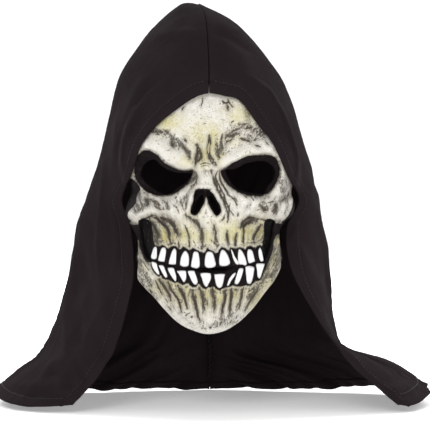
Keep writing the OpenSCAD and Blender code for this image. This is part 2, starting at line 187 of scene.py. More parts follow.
# ------------------------------------------------------------------ the latex face: outline and form
OUTL = np.array([[77, -24], [74, -14], [75, -6], [77, 4], [77, 15], [73, 29], [68, 44], [60, 60], [46, 76], [25, 87], [0, 91],
                 [-25, 87], [-46, 76], [-61, 60], [-69, 45], [-74, 30], [-76, 15], [-75, 3], [-71, -7], [-71, -14], [-75, -25],
                 [-76, -33], [-73, -39], [-65.5, -54], [-64, -67], [-64, -79], [-64, -90], [-58, -98], [-50, -106],
                 [-40, -117], [-27, -129], [-14, -135.5], [-2, -138.5], [10.5, -136.5], [21.5, -131], [34.5, -120], [48, -104],
                 [57.5, -92], [63.5, -80], [63.5, -70], [63, -57], [63.5, -47], [68, -39.5], [75, -33]], float)
C0 = np.array([0.0, -25.0])
_rel = OUTL - C0
_ang = np.degrees(np.arctan2(_rel[:, 1], _rel[:, 0]))
_ang = np.where(_ang < _ang[0] - 1e-6, _ang + 360, _ang)
_rad = np.hypot(*_rel.T)


def outline_radius(phi):
    """Catmull-Rom in the angle, as the CAD does it."""
    pa = np.concatenate([_ang[-2:] - 360, _ang, _ang[:2] + 360])
    pr = np.concatenate([_rad[-2:], _rad, _rad[:2]])
    a = np.where(phi < pa[2], phi + 360, phi)
    i = np.clip(np.searchsorted(pa, a, side="right") - 1, 1, len(pa) - 3)
    t = (a - pa[i]) / (pa[i + 1] - pa[i])
    p0, p1, p2, p3 = pr[i - 1], pr[i], pr[i + 1], pr[i + 2]
    return p1 + 0.5 * t * ((p2 - p0) + t * ((2 * p0 - 5 * p1 + 4 * p2 - p3) + t * (3 * (p1 - p2) + p3 - p0)))


def egg(s):
    return 1 - np.maximum(0, 1 - np.minimum(1, s) ** 2.5) ** 0.4


def base_y(x, z):
    dx, dz = x - C0[0], z - C0[1]
    phi = np.degrees(np.arctan2(dz, dx))
    s = np.hypot(dx, dz) / outline_radius(phi)
    sn = np.sin(np.radians(phi))
    ye = np.where(sn > 0, -36 - 48 * np.abs(sn) ** 1.6, -36 - 44 * np.abs(sn) ** 1.5)
    return -99 + (ye + 99) * egg(0.95 * s) / egg(np.array(0.95))


# openings and painted outlines, on the face plane in mm
EYE_L = crom([[-62, 3], [-59.8, 10.4], [-55, 14.7], [-48.7, 15.7], [-42.8, 10.5], [-35.8, 6.2], [-27.3, 4], [-15.8, 3.5], [-16.6, 0.9], [-21, -4.5], [-27.3, -8.7], [-33.7, -14], [-39, -15.1], [-46.5, -12.5], [-54, -7.7], [-59.3, -2.4]], True)
EYE_R = crom([[14.3, 6.2], [21.7, 7.2], [26, 8.9], [31.3, 12], [37.8, 13.6], [45.2, 14.7], [51.6, 13.6], [56.9, 9.4], [59, 4], [57.5, -2.4], [52.6, -7.7], [48.4, -14], [42, -14.6], [34.5, -13.6], [26, -10.9], [20.7, -6.6], [16.4, -0.2]], True)
BLK_L = crom(np.concatenate([on("A", [(112, 1400), (125, 1250), (185, 1130), (262, 1062), (345, 1052), (430, 1085), (520, 1145), (565, 1205), (640, 1275), (720, 1315), (800, 1362), (900, 1402), (1000, 1412), (1118, 1398)]),
                              on("C", [(1128, 230), (1105, 300), (1050, 392), (960, 472), (850, 560), (700, 604), (540, 618), (420, 590), (300, 535), (225, 460), (160, 370), (118, 270)])]), True, 4)
BLK_R = crom(np.concatenate([on("B", [(262, 1400), (340, 1378), (400, 1325), (470, 1268), (560, 1228), (680, 1168), (800, 1140), (950, 1140), (1080, 1130), (1180, 1165), (1240, 1232), (1276, 1330)]),
                              on("D", [(1285, 150), (1268, 262), (1228, 372), (1166, 484), (1090, 562), (960, 622), (800, 622), (650, 592), (520, 532), (430, 462), (360, 396), (300, 320), (262, 240)])]), True, 4)
NOSE_L = crom([[-7.6, -15.7], [-5.5, -16.7], [-6, -21.6], [-10.2, -30.1], [-13.5, -32.2], [-14, -28.4], [-11.4, -21]], True)
NOSE_R = crom([[-0.1, -14.6], [3.1, -18.3], [6.8, -24.7], [8.4, -30.1], [6.8, -31.7], [4.7, -29.6], [1.5, -22.6], [-0.1, -17.1]], True)
NOSE_BLK = crom(np.concatenate([on("C", [(1180, 520), (1260, 500), (1350, 505), (1440, 510)]), on("D", [(60, 520), (90, 560), (130, 600), (180, 680), (235, 780), (262, 880), (235, 945), (180, 970), (130, 920), (85, 850), (45, 770), (20, 690), (-5, 640)]),
                                on("C", [(1345, 690), (1310, 780), (1270, 850), (1220, 930), (1160, 962), (1100, 940), (1090, 880), (1110, 790), (1140, 690), (1150, 600)])]), True, 3)
SEPTUM = on("C", [(1350, 545), (1352, 640), (1350, 760)])
MOUTH = crom([[-20.5, -80.3], [-14, -79.9], [-6, -79.8], [2, -79.6], [9, -79.6], [16, -79.2], [23, -78.6], [18, -81.4], [12, -83.4], [3, -84.4], [-7, -83.6], [-14, -82.2]], True)
WEB_L = crom([[-61.5, -39], [-61.4, -51], [-60.6, -60], [-58, -68], [-55, -72.4], [-50.6, -71.6], [-50, -60], [-52.2, -52], [-53.9, -39]], True)
WEB_R = crom([[56.6, -39], [57.2, -47], [55.6, -57], [53.4, -64], [50.2, -71], [47.8, -72.6], [47.4, -60.7], [48.6, -52.3], [49.6, -39]], True)
DARK_L = crom(on("P", [(120, 222), (131, 224.2), (140, 224.8), (147, 223.4), (151, 222.6), (153.5, 240), (155.5, 256), (151, 262.2), (146, 261.2), (143.2, 257.2), (141.4, 252), (139.6, 246), (138.2, 240), (134, 240), (120, 236)]), True)
# Painted shadow: black patches on the outer cheeks where the hood's edge lies over the latex and shades it.
HOOD_SHADOW_L = crom(on("P", [(118, 176), (130, 178), (135, 181), (138.6, 185), (140.6, 189.5), (138, 193.5), (136.8, 198), (136, 203), (133, 207), (129.6, 210.5), (127.8, 214), (128.4, 218), (130.6, 222), (118, 226), (110, 200)]), True)
HOOD_SHADOW_R = crom(on("P", [(298, 190), (293, 195), (292.6, 201), (292, 206.5), (290.2, 211.5), (287.6, 216), (284.4, 219.8), (281, 222.6), (290, 228), (304, 224), (308, 205)]), True)
DARK_R = crom(on("P", [(266, 229), (269, 224.6), (274, 223), (280, 223.4), (286, 225), (284, 232), (279, 233.5), (275.6, 237), (273.6, 243), (272.8, 250), (270, 258), (267, 266), (264.6, 269.5), (264, 258), (264.6, 246), (264.8, 236)]), True)
JAW = np.array([[-95, -42], [-59, -42], [-58, -52], [-57, -62], [-55, -69], [-52, -72.4], [-46, -75.0], [-35, -78.4], [-24, -80.4], [-14, -81.2], [0, -81.9], [12, -81.8], [20, -80.4],
                [27, -79.2], [35, -77.0], [43, -75.2], [48, -72.0], [51.6, -62], [53, -50], [53, -42], [95, -42], [95, -170], [-95, -170]], float)
GUM = np.concatenate([on("E", [(372, 120), (385, 92), (405, 76), (432, 80), (455, 100), (500, 108), (520, 95), (545, 86), (580, 95), (612, 128), (650, 138), (690, 112), (730, 98), (772, 110), (812, 148), (850, 150), (882, 108), (905, 116), (940, 150), (1000, 172), (1030, 128), (1060, 140), (1100, 165), (1140, 190), (1180, 192), (1210, 216), (1240, 190), (1262, 140), (1275, 118)]),
                      on("F", [(55, 150), (100, 180), (150, 214), (185, 205), (215, 150), (250, 118), (290, 125), (340, 160), (375, 180), (392, 120), (440, 130), (480, 150), (510, 130), (550, 118), (590, 140), (640, 150), (660, 115), (700, 98), (750, 108), (790, 140), (820, 98), (870, 88), (910, 118), (934, 160),
                               (938, 400), (930, 500), (902, 580), (872, 640), (832, 652), (792, 645), (752, 700), (700, 730), (640, 722), (570, 742), (500, 742), (430, 722), (380, 748), (330, 748), (270, 772), (220, 802), (172, 792), (140, 748), (90, 742), (50, 760)]),
                      on("E", [(1290, 750), (1240, 786), (1200, 770), (1150, 702), (1112, 702), (1085, 746), (1040, 752), (1000, 730), (960, 684), (920, 692), (882, 722), (850, 700), (800, 668), (750, 682), (700, 662), (640, 628), (600, 632), (560, 612), (530, 568), (486, 576), (440, 540), (400, 480), (368, 400), (360, 330), (362, 220)])])
TEETH_UP = [("E", [(425, 112), (455, 125), (462, 200), (455, 285), (412, 305), (370, 280), (377, 225), (400, 150)]),
            ("E", [(562, 122), (600, 140), (605, 200), (585, 328), (568, 345), (500, 335), (483, 308), (500, 240), (530, 150)]),
            ("E", [(740, 138), (768, 165), (772, 230), (765, 368), (745, 388), (667, 385), (652, 358), (675, 270), (705, 178)]),
            ("E", [(915, 176), (950, 205), (975, 280), (970, 388), (950, 416), (898, 426), (840, 402), (833, 360), (850, 270), (885, 200)]),
            ("E", [(1075, 186), (1120, 205), (1140, 280), (1148, 400), (1125, 440), (1080, 450), (1015, 426), (1010, 380), (1030, 280), (1045, 208)]),
            ("F", [(50, 186), (100, 205), (128, 270), (150, 350), (152, 402), (120, 433), (50, 443), (7, 436), (-18, 400), (-20, 330), (-8, 250), (15, 200)]),
            ("F", [(262, 160), (300, 175), (345, 240), (375, 320), (380, 372), (350, 402), (270, 416), (222, 400), (210, 350), (215, 270), (235, 188)]),
            ("F", [(400, 148), (425, 180), (455, 250), (490, 310), (520, 358), (524, 380), (500, 391), (470, 370), (435, 300), (410, 210)]),
            ("F", [(540, 148), (580, 185), (620, 260), (645, 340), (651, 386), (625, 406), (580, 391), (532, 386), (512, 340), (510, 250), (518, 178)]),
            ("F", [(685, 152), (730, 165), (755, 220), (780, 328), (765, 346), (695, 369), (672, 330), (660, 240), (664, 178)]),
            ("F", [(865, 126), (890, 170), (905, 240), (918, 320), (900, 339), (868, 331), (845, 260), (838, 180), (850, 142)])]
TEETH_LO = [("E", [(384, 352), (450, 370), (470, 430), (500, 535), (480, 551), (430, 500), (395, 440), (379, 385)]),
            ("E", [(494, 408), (560, 410), (590, 470), (625, 560), (620, 595), (595, 596), (550, 530), (510, 450)]),
            ("E", [(638, 452), (720, 448), (745, 490), (770, 580), (768, 640), (750, 656), (700, 590), (660, 520)]),
            ("E", [(790, 496), (905, 492), (928, 520), (930, 610), (910, 660), (885, 669), (850, 610), (810, 540)]),
            ("E", [(960, 502), (1050, 495), (1075, 530), (1112, 650), (1100, 700), (1065, 711), (1020, 660), (985, 580)]),
            ("E", [(1166, 535), (1300, 530), (1325, 560), (1325, 620), (1290, 700), (1255, 746), (1215, 710), (1180, 610)]),
            ("F", [(143, 550), (290, 545), (292, 590), (270, 700), (245, 750), (205, 763), (165, 720), (140, 620), (137, 570)]),
            ("F", [(469, 524), (460, 570), (410, 640), (370, 715), (345, 731), (339, 710), (370, 620), (420, 553)]),
            ("F", [(535, 456), (590, 459), (592, 500), (560, 610), (520, 690), (490, 706), (458, 685), (475, 610), (510, 498)]),
            ("F", [(640, 430), (700, 419), (765, 440), (768, 500), (745, 620), (720, 685), (685, 698), (655, 670), (640, 560), (632, 458)]),
            ("F", [(808, 385), (925, 382), (930, 410), (900, 510), (870, 600), (850, 611), (825, 580), (815, 480)])]

# Grooves and painted lines: sheet, points, half width in sheet units, darkness, groove depth in mm
LINES = [
    # maxilla, viewer's left
    ("C", [(370, 1010), (400, 1080), (450, 1150), (500, 1240), (520, 1330), (500, 1400)], 26, 0.85, 1.5),
    ("C", [(440, 990), (520, 1040), (600, 1110), (680, 1180), (710, 1260), (720, 1350), (740, 1450)], 26, 0.9, 1.7),
    ("C", [(560, 1000), (660, 1040), (750, 1090), (800, 1150), (830, 1230), (862, 1300)], 40, 0.95, 1.8),
    ("C", [(985, 1140), (1020, 1200), (1050, 1280), (1065, 1380), (1070, 1500)], 15, 0.85, 1.2),
    ("C", [(1030, 970), (1110, 1020), (1190, 1090), (1250, 1170), (1290, 1280), (1290, 1400), (1300, 1500)], 30, 0.72, 1.4),
    ("C", [(880, 1400), (890, 1540)], 13, 0.7, 0.8),
    ("C", [(250, 1030), (330, 1010), (400, 970), (470, 960)], 22, 0.8, 1.0),
    ("C", [(540, 1412), (620, 1402), (700, 1424)], 9, 0.6, 0.4), ("C", [(1130, 1400), (1180, 1480)], 10, 0.6, 0.5),
    # maxilla, viewer's right
    ("D", [(140, 1140), (160, 1250), (170, 1380), (190, 1480)], 26, 0.6, 1.2),
    ("D", [(370, 1240), (365, 1320), (380, 1420), (400, 1500)], 17, 0.85, 1.2),
    ("D", [(540, 1270), (515, 1350), (510, 1450), (500, 1500)], 17, 0.85, 1.2),
    ("D", [(600, 1160), (640, 1090), (700, 1030), (770, 1000), (840, 1010)], 26, 0.9, 1.6),
    ("D", [(640, 1165), (700, 1110), (770, 1060), (850, 1040)], 30, 0.85, 1.4),
    ("D", [(660, 1160), (660, 1250), (650, 1350), (660, 1440)], 18, 0.75, 1.2),
    ("D", [(960, 1130), (900, 1210), (860, 1290), (830, 1370), (840, 1440)], 18, 0.85, 1.3),
    ("D", [(1000, 1300), (960, 1380), (900, 1420)], 12, 0.7, 0.7), ("D", [(80, 1380), (140, 1440), (190, 1500)], 13, 0.75, 0.7),
    ("D", [(680, 1444), (760, 1440), (860, 1430)], 9, 0.55, 0.3), ("D", [(310, 1380), (345, 1402)], 10, 0.7, 0.4), ("D", [(620, 1400), (652, 1450)], 12, 0.7, 0.4),
    ("D", [(860, 1030), (960, 1030), (1060, 1060)], 18, 0.5, 0.8),
    # nose sides
    ("D", [(90, 180), (120, 300), (160, 420), (230, 560), (290, 680), (340, 800), (370, 900), (372, 1000)], 15, 0.9, 1.0),
    ("D", [(180, 320), (220, 420), (260, 520), (310, 600), (330, 700), (370, 780), (400, 860), (390, 1000), (372, 1080)], 14, 0.85, 1.0),
    ("D", [(240, 170), (232, 260), (270, 400), (330, 500), (380, 590), (440, 640), (500, 700), (545, 785)], 16, 0.8, 1.0),
    ("D", [(200, 190), (160, 300), (190, 420), (200, 520)], 14, 0.85, 0.8), ("D", [(300, 420), (380, 540), (470, 620)], 12, 0.5, 0.5),
    ("D", [(420, 760), (402, 850), (450, 920), (490, 970)], 10, 0.75, 0.5), ("D", [(556, 930), (545, 982)], 12, 0.7, 0.4),
    ("D", [(490, 630), (525, 690), (552, 735)], 18, 0.65, 0.5), ("D", [(320, 960), (300, 1030), (250, 1070)], 12, 0.7, 0.5),
    ("D", [(640, 590), (680, 630), (722, 672)], 11, 0.85, 0.3), ("D", [(780, 630), (832, 704)], 11, 0.85, 0.3), ("D", [(860, 640), (885, 690)], 9, 0.6, 0.2),
    ("C", [(1170, 190), (1195, 290), (1170, 400), (1105, 480), (1040, 560), (990, 640)], 28, 0.5, 0.7),
    ("C", [(1130, 220), (1140, 320), (1110, 400)], 14, 0.5, 0.4), ("C", [(920, 700), (930, 760), (962, 842)], 13, 0.6, 0.4),
    ("C", [(1250, 82), (1300, 58), (1350, 50), (1400, 60), (1445, 84)], 10, 0.95, 0.9), ("C", [(1262, 122), (1310, 98), (1350, 92), (1390, 100), (1432, 124)], 8, 0.8, 0.8),
    ("C", [(1310, 190), (1340, 240), (1372, 282), (1400, 230), (1390, 180)], 8, 0.6, 0.5), ("C", [(1270, 180), (1300, 260), (1340, 310)], 8, 0.45, 0.4),
    # forehead, viewer's left
    ("A", [(1295, 150), (1290, 220), (1265, 290)], 13, 0.7, 0.4), ("A", [(968, 286), (935, 352)], 12, 0.8, 0.4), ("A", [(1235, 250), (1255, 300)], 8, 0.5, 0.2),
    ("A", [(430, 722), (505, 716)], 9, 0.95, 0.3), ("A", [(478, 772), (545, 770)], 8, 0.95, 0.3), ("A", [(760, 928), (792, 985)], 20, 0.95, 0.6),
    ("A", [(670, 1056), (726, 1048)], 8, 0.85, 0.2), ("A", [(690, 1225), (730, 1218)], 10, 0.6, 0.2), ("A", [(610, 1090), (612, 1140)], 9, 0.5, 0.2),
    ("A", [(800, 1190), (825, 1150)], 9, 0.5, 0.2), ("A", [(975, 860), (1015, 885)], 18, 0.85, 0.4), ("A", [(1000, 840), (990, 900)], 12, 0.6, 0.3),
    ("A", [(930, 960), (980, 1010), (1040, 1080), (1072, 1110)], 20, 0.75, 0.7), ("A", [(1060, 1140), (1085, 1195)], 16, 0.75, 0.4),
    ("A", [(1200, 960), (1220, 1040), (1200, 1130), (1180, 1230), (1165, 1330)], 22, 0.85, 1.5), ("A", [(1255, 1040), (1272, 1120), (1250, 1200), (1210, 1262)], 17, 0.8, 1.3),
    ("A", [(1415, 800), (1420, 900), (1400, 1000), (1395, 1100), (1420, 1200), (1460, 1262)], 17, 0.85, 1.4),
    ("A", [(1350, 1200), (1350, 1250)], 8, 0.6, 0.3), ("A", [(1120, 1250), (1115, 1300)], 16, 0.45, 0.6),
    # forehead, viewer's right
    ("B", [(280, 190), (330, 220), (400, 212)], 16, 0.9, 0.4), ("B", [(380, 170), (440, 270), (465, 295)], 12, 0.9, 0.4), ("B", [(372, 258), (392, 345)], 22, 0.7, 0.4), ("B", [(290, 175), (300, 235)], 11, 0.8, 0.3),
    ("B", [(190, 515), (310, 512)], 7, 0.45, 0.1), ("B", [(50, 800), (60, 900), (45, 1000), (60, 1100), (110, 1200), (172, 1312)], 17, 0.85, 1.4),
    ("B", [(28, 1140), (85, 1248), (142, 1322)], 10, 0.8, 1.0), ("B", [(282, 770), (270, 850), (265, 930), (278, 1020)], 16, 0.65, 0.8),
    ("B", [(420, 745), (520, 690), (592, 662)], 16, 0.7, 0.6), ("B", [(360, 800), (440, 800), (510, 770)], 22, 0.8, 0.6), ("B", [(340, 900), (420, 880), (470, 850)], 20, 0.65, 0.5),
    ("B", [(620, 610), (720, 586)], 14, 0.7, 0.4), ("B", [(690, 680), (760, 650), (810, 655)], 18, 0.7, 0.4), ("B", [(840, 950), (900, 975), (945, 988)], 17, 0.85, 0.5), ("B", [(1040, 900), (1095, 962)], 13, 0.9, 0.4),
    ("B", [(590, 840), (680, 862), (762, 905)], 18, 0.6, 0.5), ("B", [(840, 882), (870, 860)], 14, 0.8, 0.3), ("B", [(740, 790), (800, 790)], 14, 0.6, 0.3), ("B", [(925, 750), (955, 800)], 13, 0.7, 0.3),
    ("B", [(930, 672), (965, 728)], 10, 0.9, 0.3), ("B", [(200, 960), (200, 1085)], 10, 0.7, 0.5), ("B", [(208, 1130), (238, 1172)], 12, 0.9, 0.3), ("B", [(700, 1050), (694, 1132)], 9, 0.7, 0.4), ("B", [(760, 1050), (768, 1105)], 9, 0.8, 0.4),
    ("B", [(505, 1180), (540, 1130)], 10, 0.45, 0.2), ("B", [(440, 1020), (520, 990)], 10, 0.45, 0.2),
    # cheeks
    ("C", [(300, 680), (345, 720), (350, 770), (300, 800)], 22, 0.9, 0.8), ("C", [(200, 700), (240, 770), (230, 840), (190, 880)], 16, 0.65, 0.5), ("C", [(100, 690), (120, 760)], 16, 0.7, 0.5), ("C", [(40, 760), (52, 850)], 16, 0.7, 0.3),
    ("C", [(360, 680), (440, 710), (520, 740)], 18, 0.6, 0.4), ("C", [(470, 800), (560, 850), (650, 860)], 30, 0.55, 0.5), ("C", [(600, 700), (680, 760), (690, 830)], 22, 0.65, 0.4),
    ("C", [(730, 720), (800, 790), (860, 850), (882, 920)], 12, 0.6, 0.4), ("C", [(850, 690), (852, 760)], 11, 0.8, 0.3), ("C", [(822, 672), (850, 628)], 13, 0.95, 0.3),
    ("D", [(950, 740), (1020, 730), (1060, 800), (1080, 880)], 14, 0.55, 0.3), ("D", [(970, 800), (1010, 860), (1060, 870)], 34, 0.75, 0.7), ("D", [(1190, 770), (1220, 830), (1160, 900)], 30, 0.85, 0.7), ("D", [(1230, 880), (1160, 930)], 16, 0.7, 0.4),
    ("D", [(1060, 745), (1120, 735), (1180, 715)], 13, 0.7, 0.3), ("D", [(1325, 705), (1392, 665)], 15, 0.95, 0.4), ("D", [(1415, 620), (1452, 590)], 14, 0.9, 0.3), ("D", [(1190, 680), (1215, 640)], 12, 0.7, 0.3), ("D", [(1080, 655), (1100, 640)], 12, 0.8, 0.3),
    ("D", [(880, 875), (920, 860)], 13, 0.6, 0.2), ("D", [(1390, 360), (1402, 400)], 10, 0.6, 0.2), ("D", [(1300, 240), (1325, 245)], 9, 0.6, 0.2),
    # jaw, viewer's left
    ("E", [(440, 660), (480, 740), (520, 820), (550, 880)], 18, 0.75, 1.0), ("E", [(500, 650), (560, 720), (620, 800), (660, 880), (690, 965)], 30, 0.85, 1.5), ("E", [(640, 660), (670, 760), (720, 840), (780, 920), (820, 1000), (840, 1080), (850, 1160)], 18, 0.85, 1.2),
    ("E", [(800, 740), (850, 820), (890, 900), (920, 1000), (945, 1085)], 20, 0.85, 1.3), ("E", [(1030, 830), (1050, 920), (1080, 1020), (1100, 1120), (1120, 1220), (1160, 1290)], 27, 0.8, 1.5), ("E", [(1160, 800), (1180, 880), (1200, 980), (1205, 1080), (1200, 1165)], 24, 0.75, 1.3),
    ("E", [(1262, 960), (1266, 1060)], 17, 0.55, 0.7), ("E", [(990, 800), (962, 900), (980, 1000)], 11, 0.5, 0.5), ("E", [(790, 940), (868, 968), (850, 1005)], 10, 0.8, 0.4), ("E", [(640, 1060), (690, 1132)], 18, 0.6, 0.4),
    ("E", [(560, 900), (640, 1000), (700, 1080)], 9, 0.45, 0.3), ("E", [(350, 800), (380, 850)], 14, 0.85, 0.4), ("E", [(200, 300), (262, 390), (340, 500)], 10, 0.35, 0.8), ("E", [(1205, 1310), (1198, 1402)], 11, 0.7, 0.3), ("E", [(920, 1215), (960, 1180), (1010, 1165)], 12, 0.6, 0.3),
    ("E", [(790, 1170), (820, 1195)], 10, 0.6, 0.2), ("E", [(1080, 870), (1110, 940)], 10, 0.5, 0.3), ("E", [(270, 760), (330, 820)], 8, 0.4, 0.3), ("E", [(880, 1160), (920, 1165)], 10, 0.6, 0.2),
    # jaw, viewer's right
    ("F", [(100, 760), (110, 860), (130, 960), (130, 1060), (120, 1140)], 26, 0.7, 1.3), ("F", [(310, 800), (310, 900), (290, 1000), (265, 1080), (255, 1180), (245, 1255)], 20, 0.85, 1.4), ("F", [(400, 780), (405, 880), (395, 980), (385, 1080), (375, 1185)], 22, 0.8, 1.3),
    ("F", [(600, 750), (580, 840), (570, 920), (540, 1000), (530, 1100)], 22, 0.7, 1.2), ("F", [(670, 830), (730, 800), (780, 748)], 12, 0.8, 0.7), ("F", [(830, 780), (790, 860), (730, 930), (690, 1010), (650, 1080), (620, 1132)], 24, 0.7, 1.2),
    ("F", [(0, 920), (10, 1000)], 20, 0.6, 0.7), ("F", [(640, 900), (672, 962)], 9, 0.55, 0.3), ("F", [(250, 1300), (220, 1380)], 12, 0.6, 0.3), ("F", [(330, 1290), (352, 1340), (322, 1390)], 10, 0.6, 0.3), ("F", [(400, 1285), (378, 1335)], 11, 0.7, 0.3), ("F", [(490, 1220), (478, 1262)], 11, 0.7, 0.3),
    ("F", [(1020, 380), (960, 470), (950, 560), (900, 640)], 20, 0.5, 0.8), ("F", [(1100, 330), (1040, 470), (960, 600), (880, 700)], 12, 0.45, 0.6), ("F", [(520, 1290), (480, 1310)], 10, 0.6, 0.2), ("F", [(180, 1380), (160, 1340)], 10, 0.5, 0.2),
]
# Single spots: sheet, x, y, radius in sheet units, darkness, pit depth
SPOTS = [("A", 1150, 430, 14, 0.75, 0.3), ("A", 840, 512, 15, 0.65, 0.2), ("A", 765, 500, 10, 0.4, 0.1), ("A", 1128, 652, 11, 0.6, 0.1), ("A", 1052, 760, 11, 0.7, 0.2), ("A", 822, 768, 14, 0.8, 0.2), ("A", 690, 745, 20, 0.9, 0.3),
         ("A", 880, 1030, 16, 0.9, 0.3), ("A", 490, 885, 14, 0.6, 0.2), ("A", 532, 945, 11, 0.6, 0.2), ("A", 622, 1225, 17, 0.95, 0.3), ("A", 660, 1292, 14, 0.7, 0.2), ("A", 1310, 460, 11, 0.35, 0.1), ("A", 1100, 705, 10, 0.5, 0.1), ("A", 845, 1255, 9, 0.5, 0.1),
         ("B", 455, 210, 14, 0.8, 0.2), ("B", 240, 240, 13, 0.7, 0.2), ("B", 465, 545, 18, 0.75, 0.3), ("B", 410, 560, 12, 0.6, 0.2), ("B", 302, 1120, 17, 0.8, 0.3), ("B", 385, 1082, 13, 0.7, 0.2), ("B", 232, 1180, 12, 0.85, 0.2), ("B", 310, 600, 12, 0.4, 0.1), ("B", 108, 830, 11, 0.45, 0.1), ("B", 765, 945, 12, 0.7, 0.2), ("B", 160, 275, 13, 0.5, 0.1),
         ("C", 860, 580, 14, 0.7, 0.3), ("C", 935, 578, 13, 0.65, 0.3), ("C", 990, 520, 10, 0.5, 0.2), ("C", 848, 820, 17, 0.8, 0.3), ("C", 560, 670, 13, 0.65, 0.2), ("C", 600, 665, 10, 0.5, 0.2), ("C", 940, 1265, 12, 0.55, 0.2), ("C", 1080, 1165, 14, 0.6, 0.2), ("C", 1395, 1090, 16, 0.65, 0.3), ("C", 1210, 985, 9, 0.6, 0.1),
         ("D", 100, 985, 15, 0.8, 0.2), ("D", 30, 1095, 13, 0.6, 0.2), ("D", 630, 715, 12, 0.5, 0.2), ("D", 490, 1268, 13, 0.7, 0.2), ("D", 150, 1135, 12, 0.6, 0.1), ("D", 775, 1230, 11, 0.5, 0.1), ("D", 300, 700, 10, 0.7, 0.1), ("D", 1160, 720, 12, 0.8, 0.2), ("D", 440, 1010, 9, 0.6, 0.1),
         ("E", 260, 560, 16, 0.75, 0.3), ("E", 440, 850, 12, 0.6, 0.2), ("E", 1022, 1228, 26, 0.65, 0.6), ("E", 1310, 1400, 24, 0.7, 0.6), ("E", 1182, 1418, 12, 0.75, 0.2), ("E", 1226, 1416, 10, 0.7, 0.2), ("E", 1085, 930, 14, 0.65, 0.2), ("E", 1080, 1352, 10, 0.4, 0.1),
         ("F", 72, 1400, 26, 0.7, 0.6), ("F", 182, 1385, 11, 0.7, 0.2), ("F", 1138, 492, 13, 0.9, 0.3), ("F", 968, 680, 15, 0.9, 0.3), ("F", 922, 752, 10, 0.6, 0.2), ("F", 282, 1240, 13, 0.5, 0.2), ("F", 445, 1330, 11, 0.5, 0.2), ("F", 218, 1100, 10, 0.6, 0.2), ("F", 415, 1320, 9, 0.6, 0.1)]
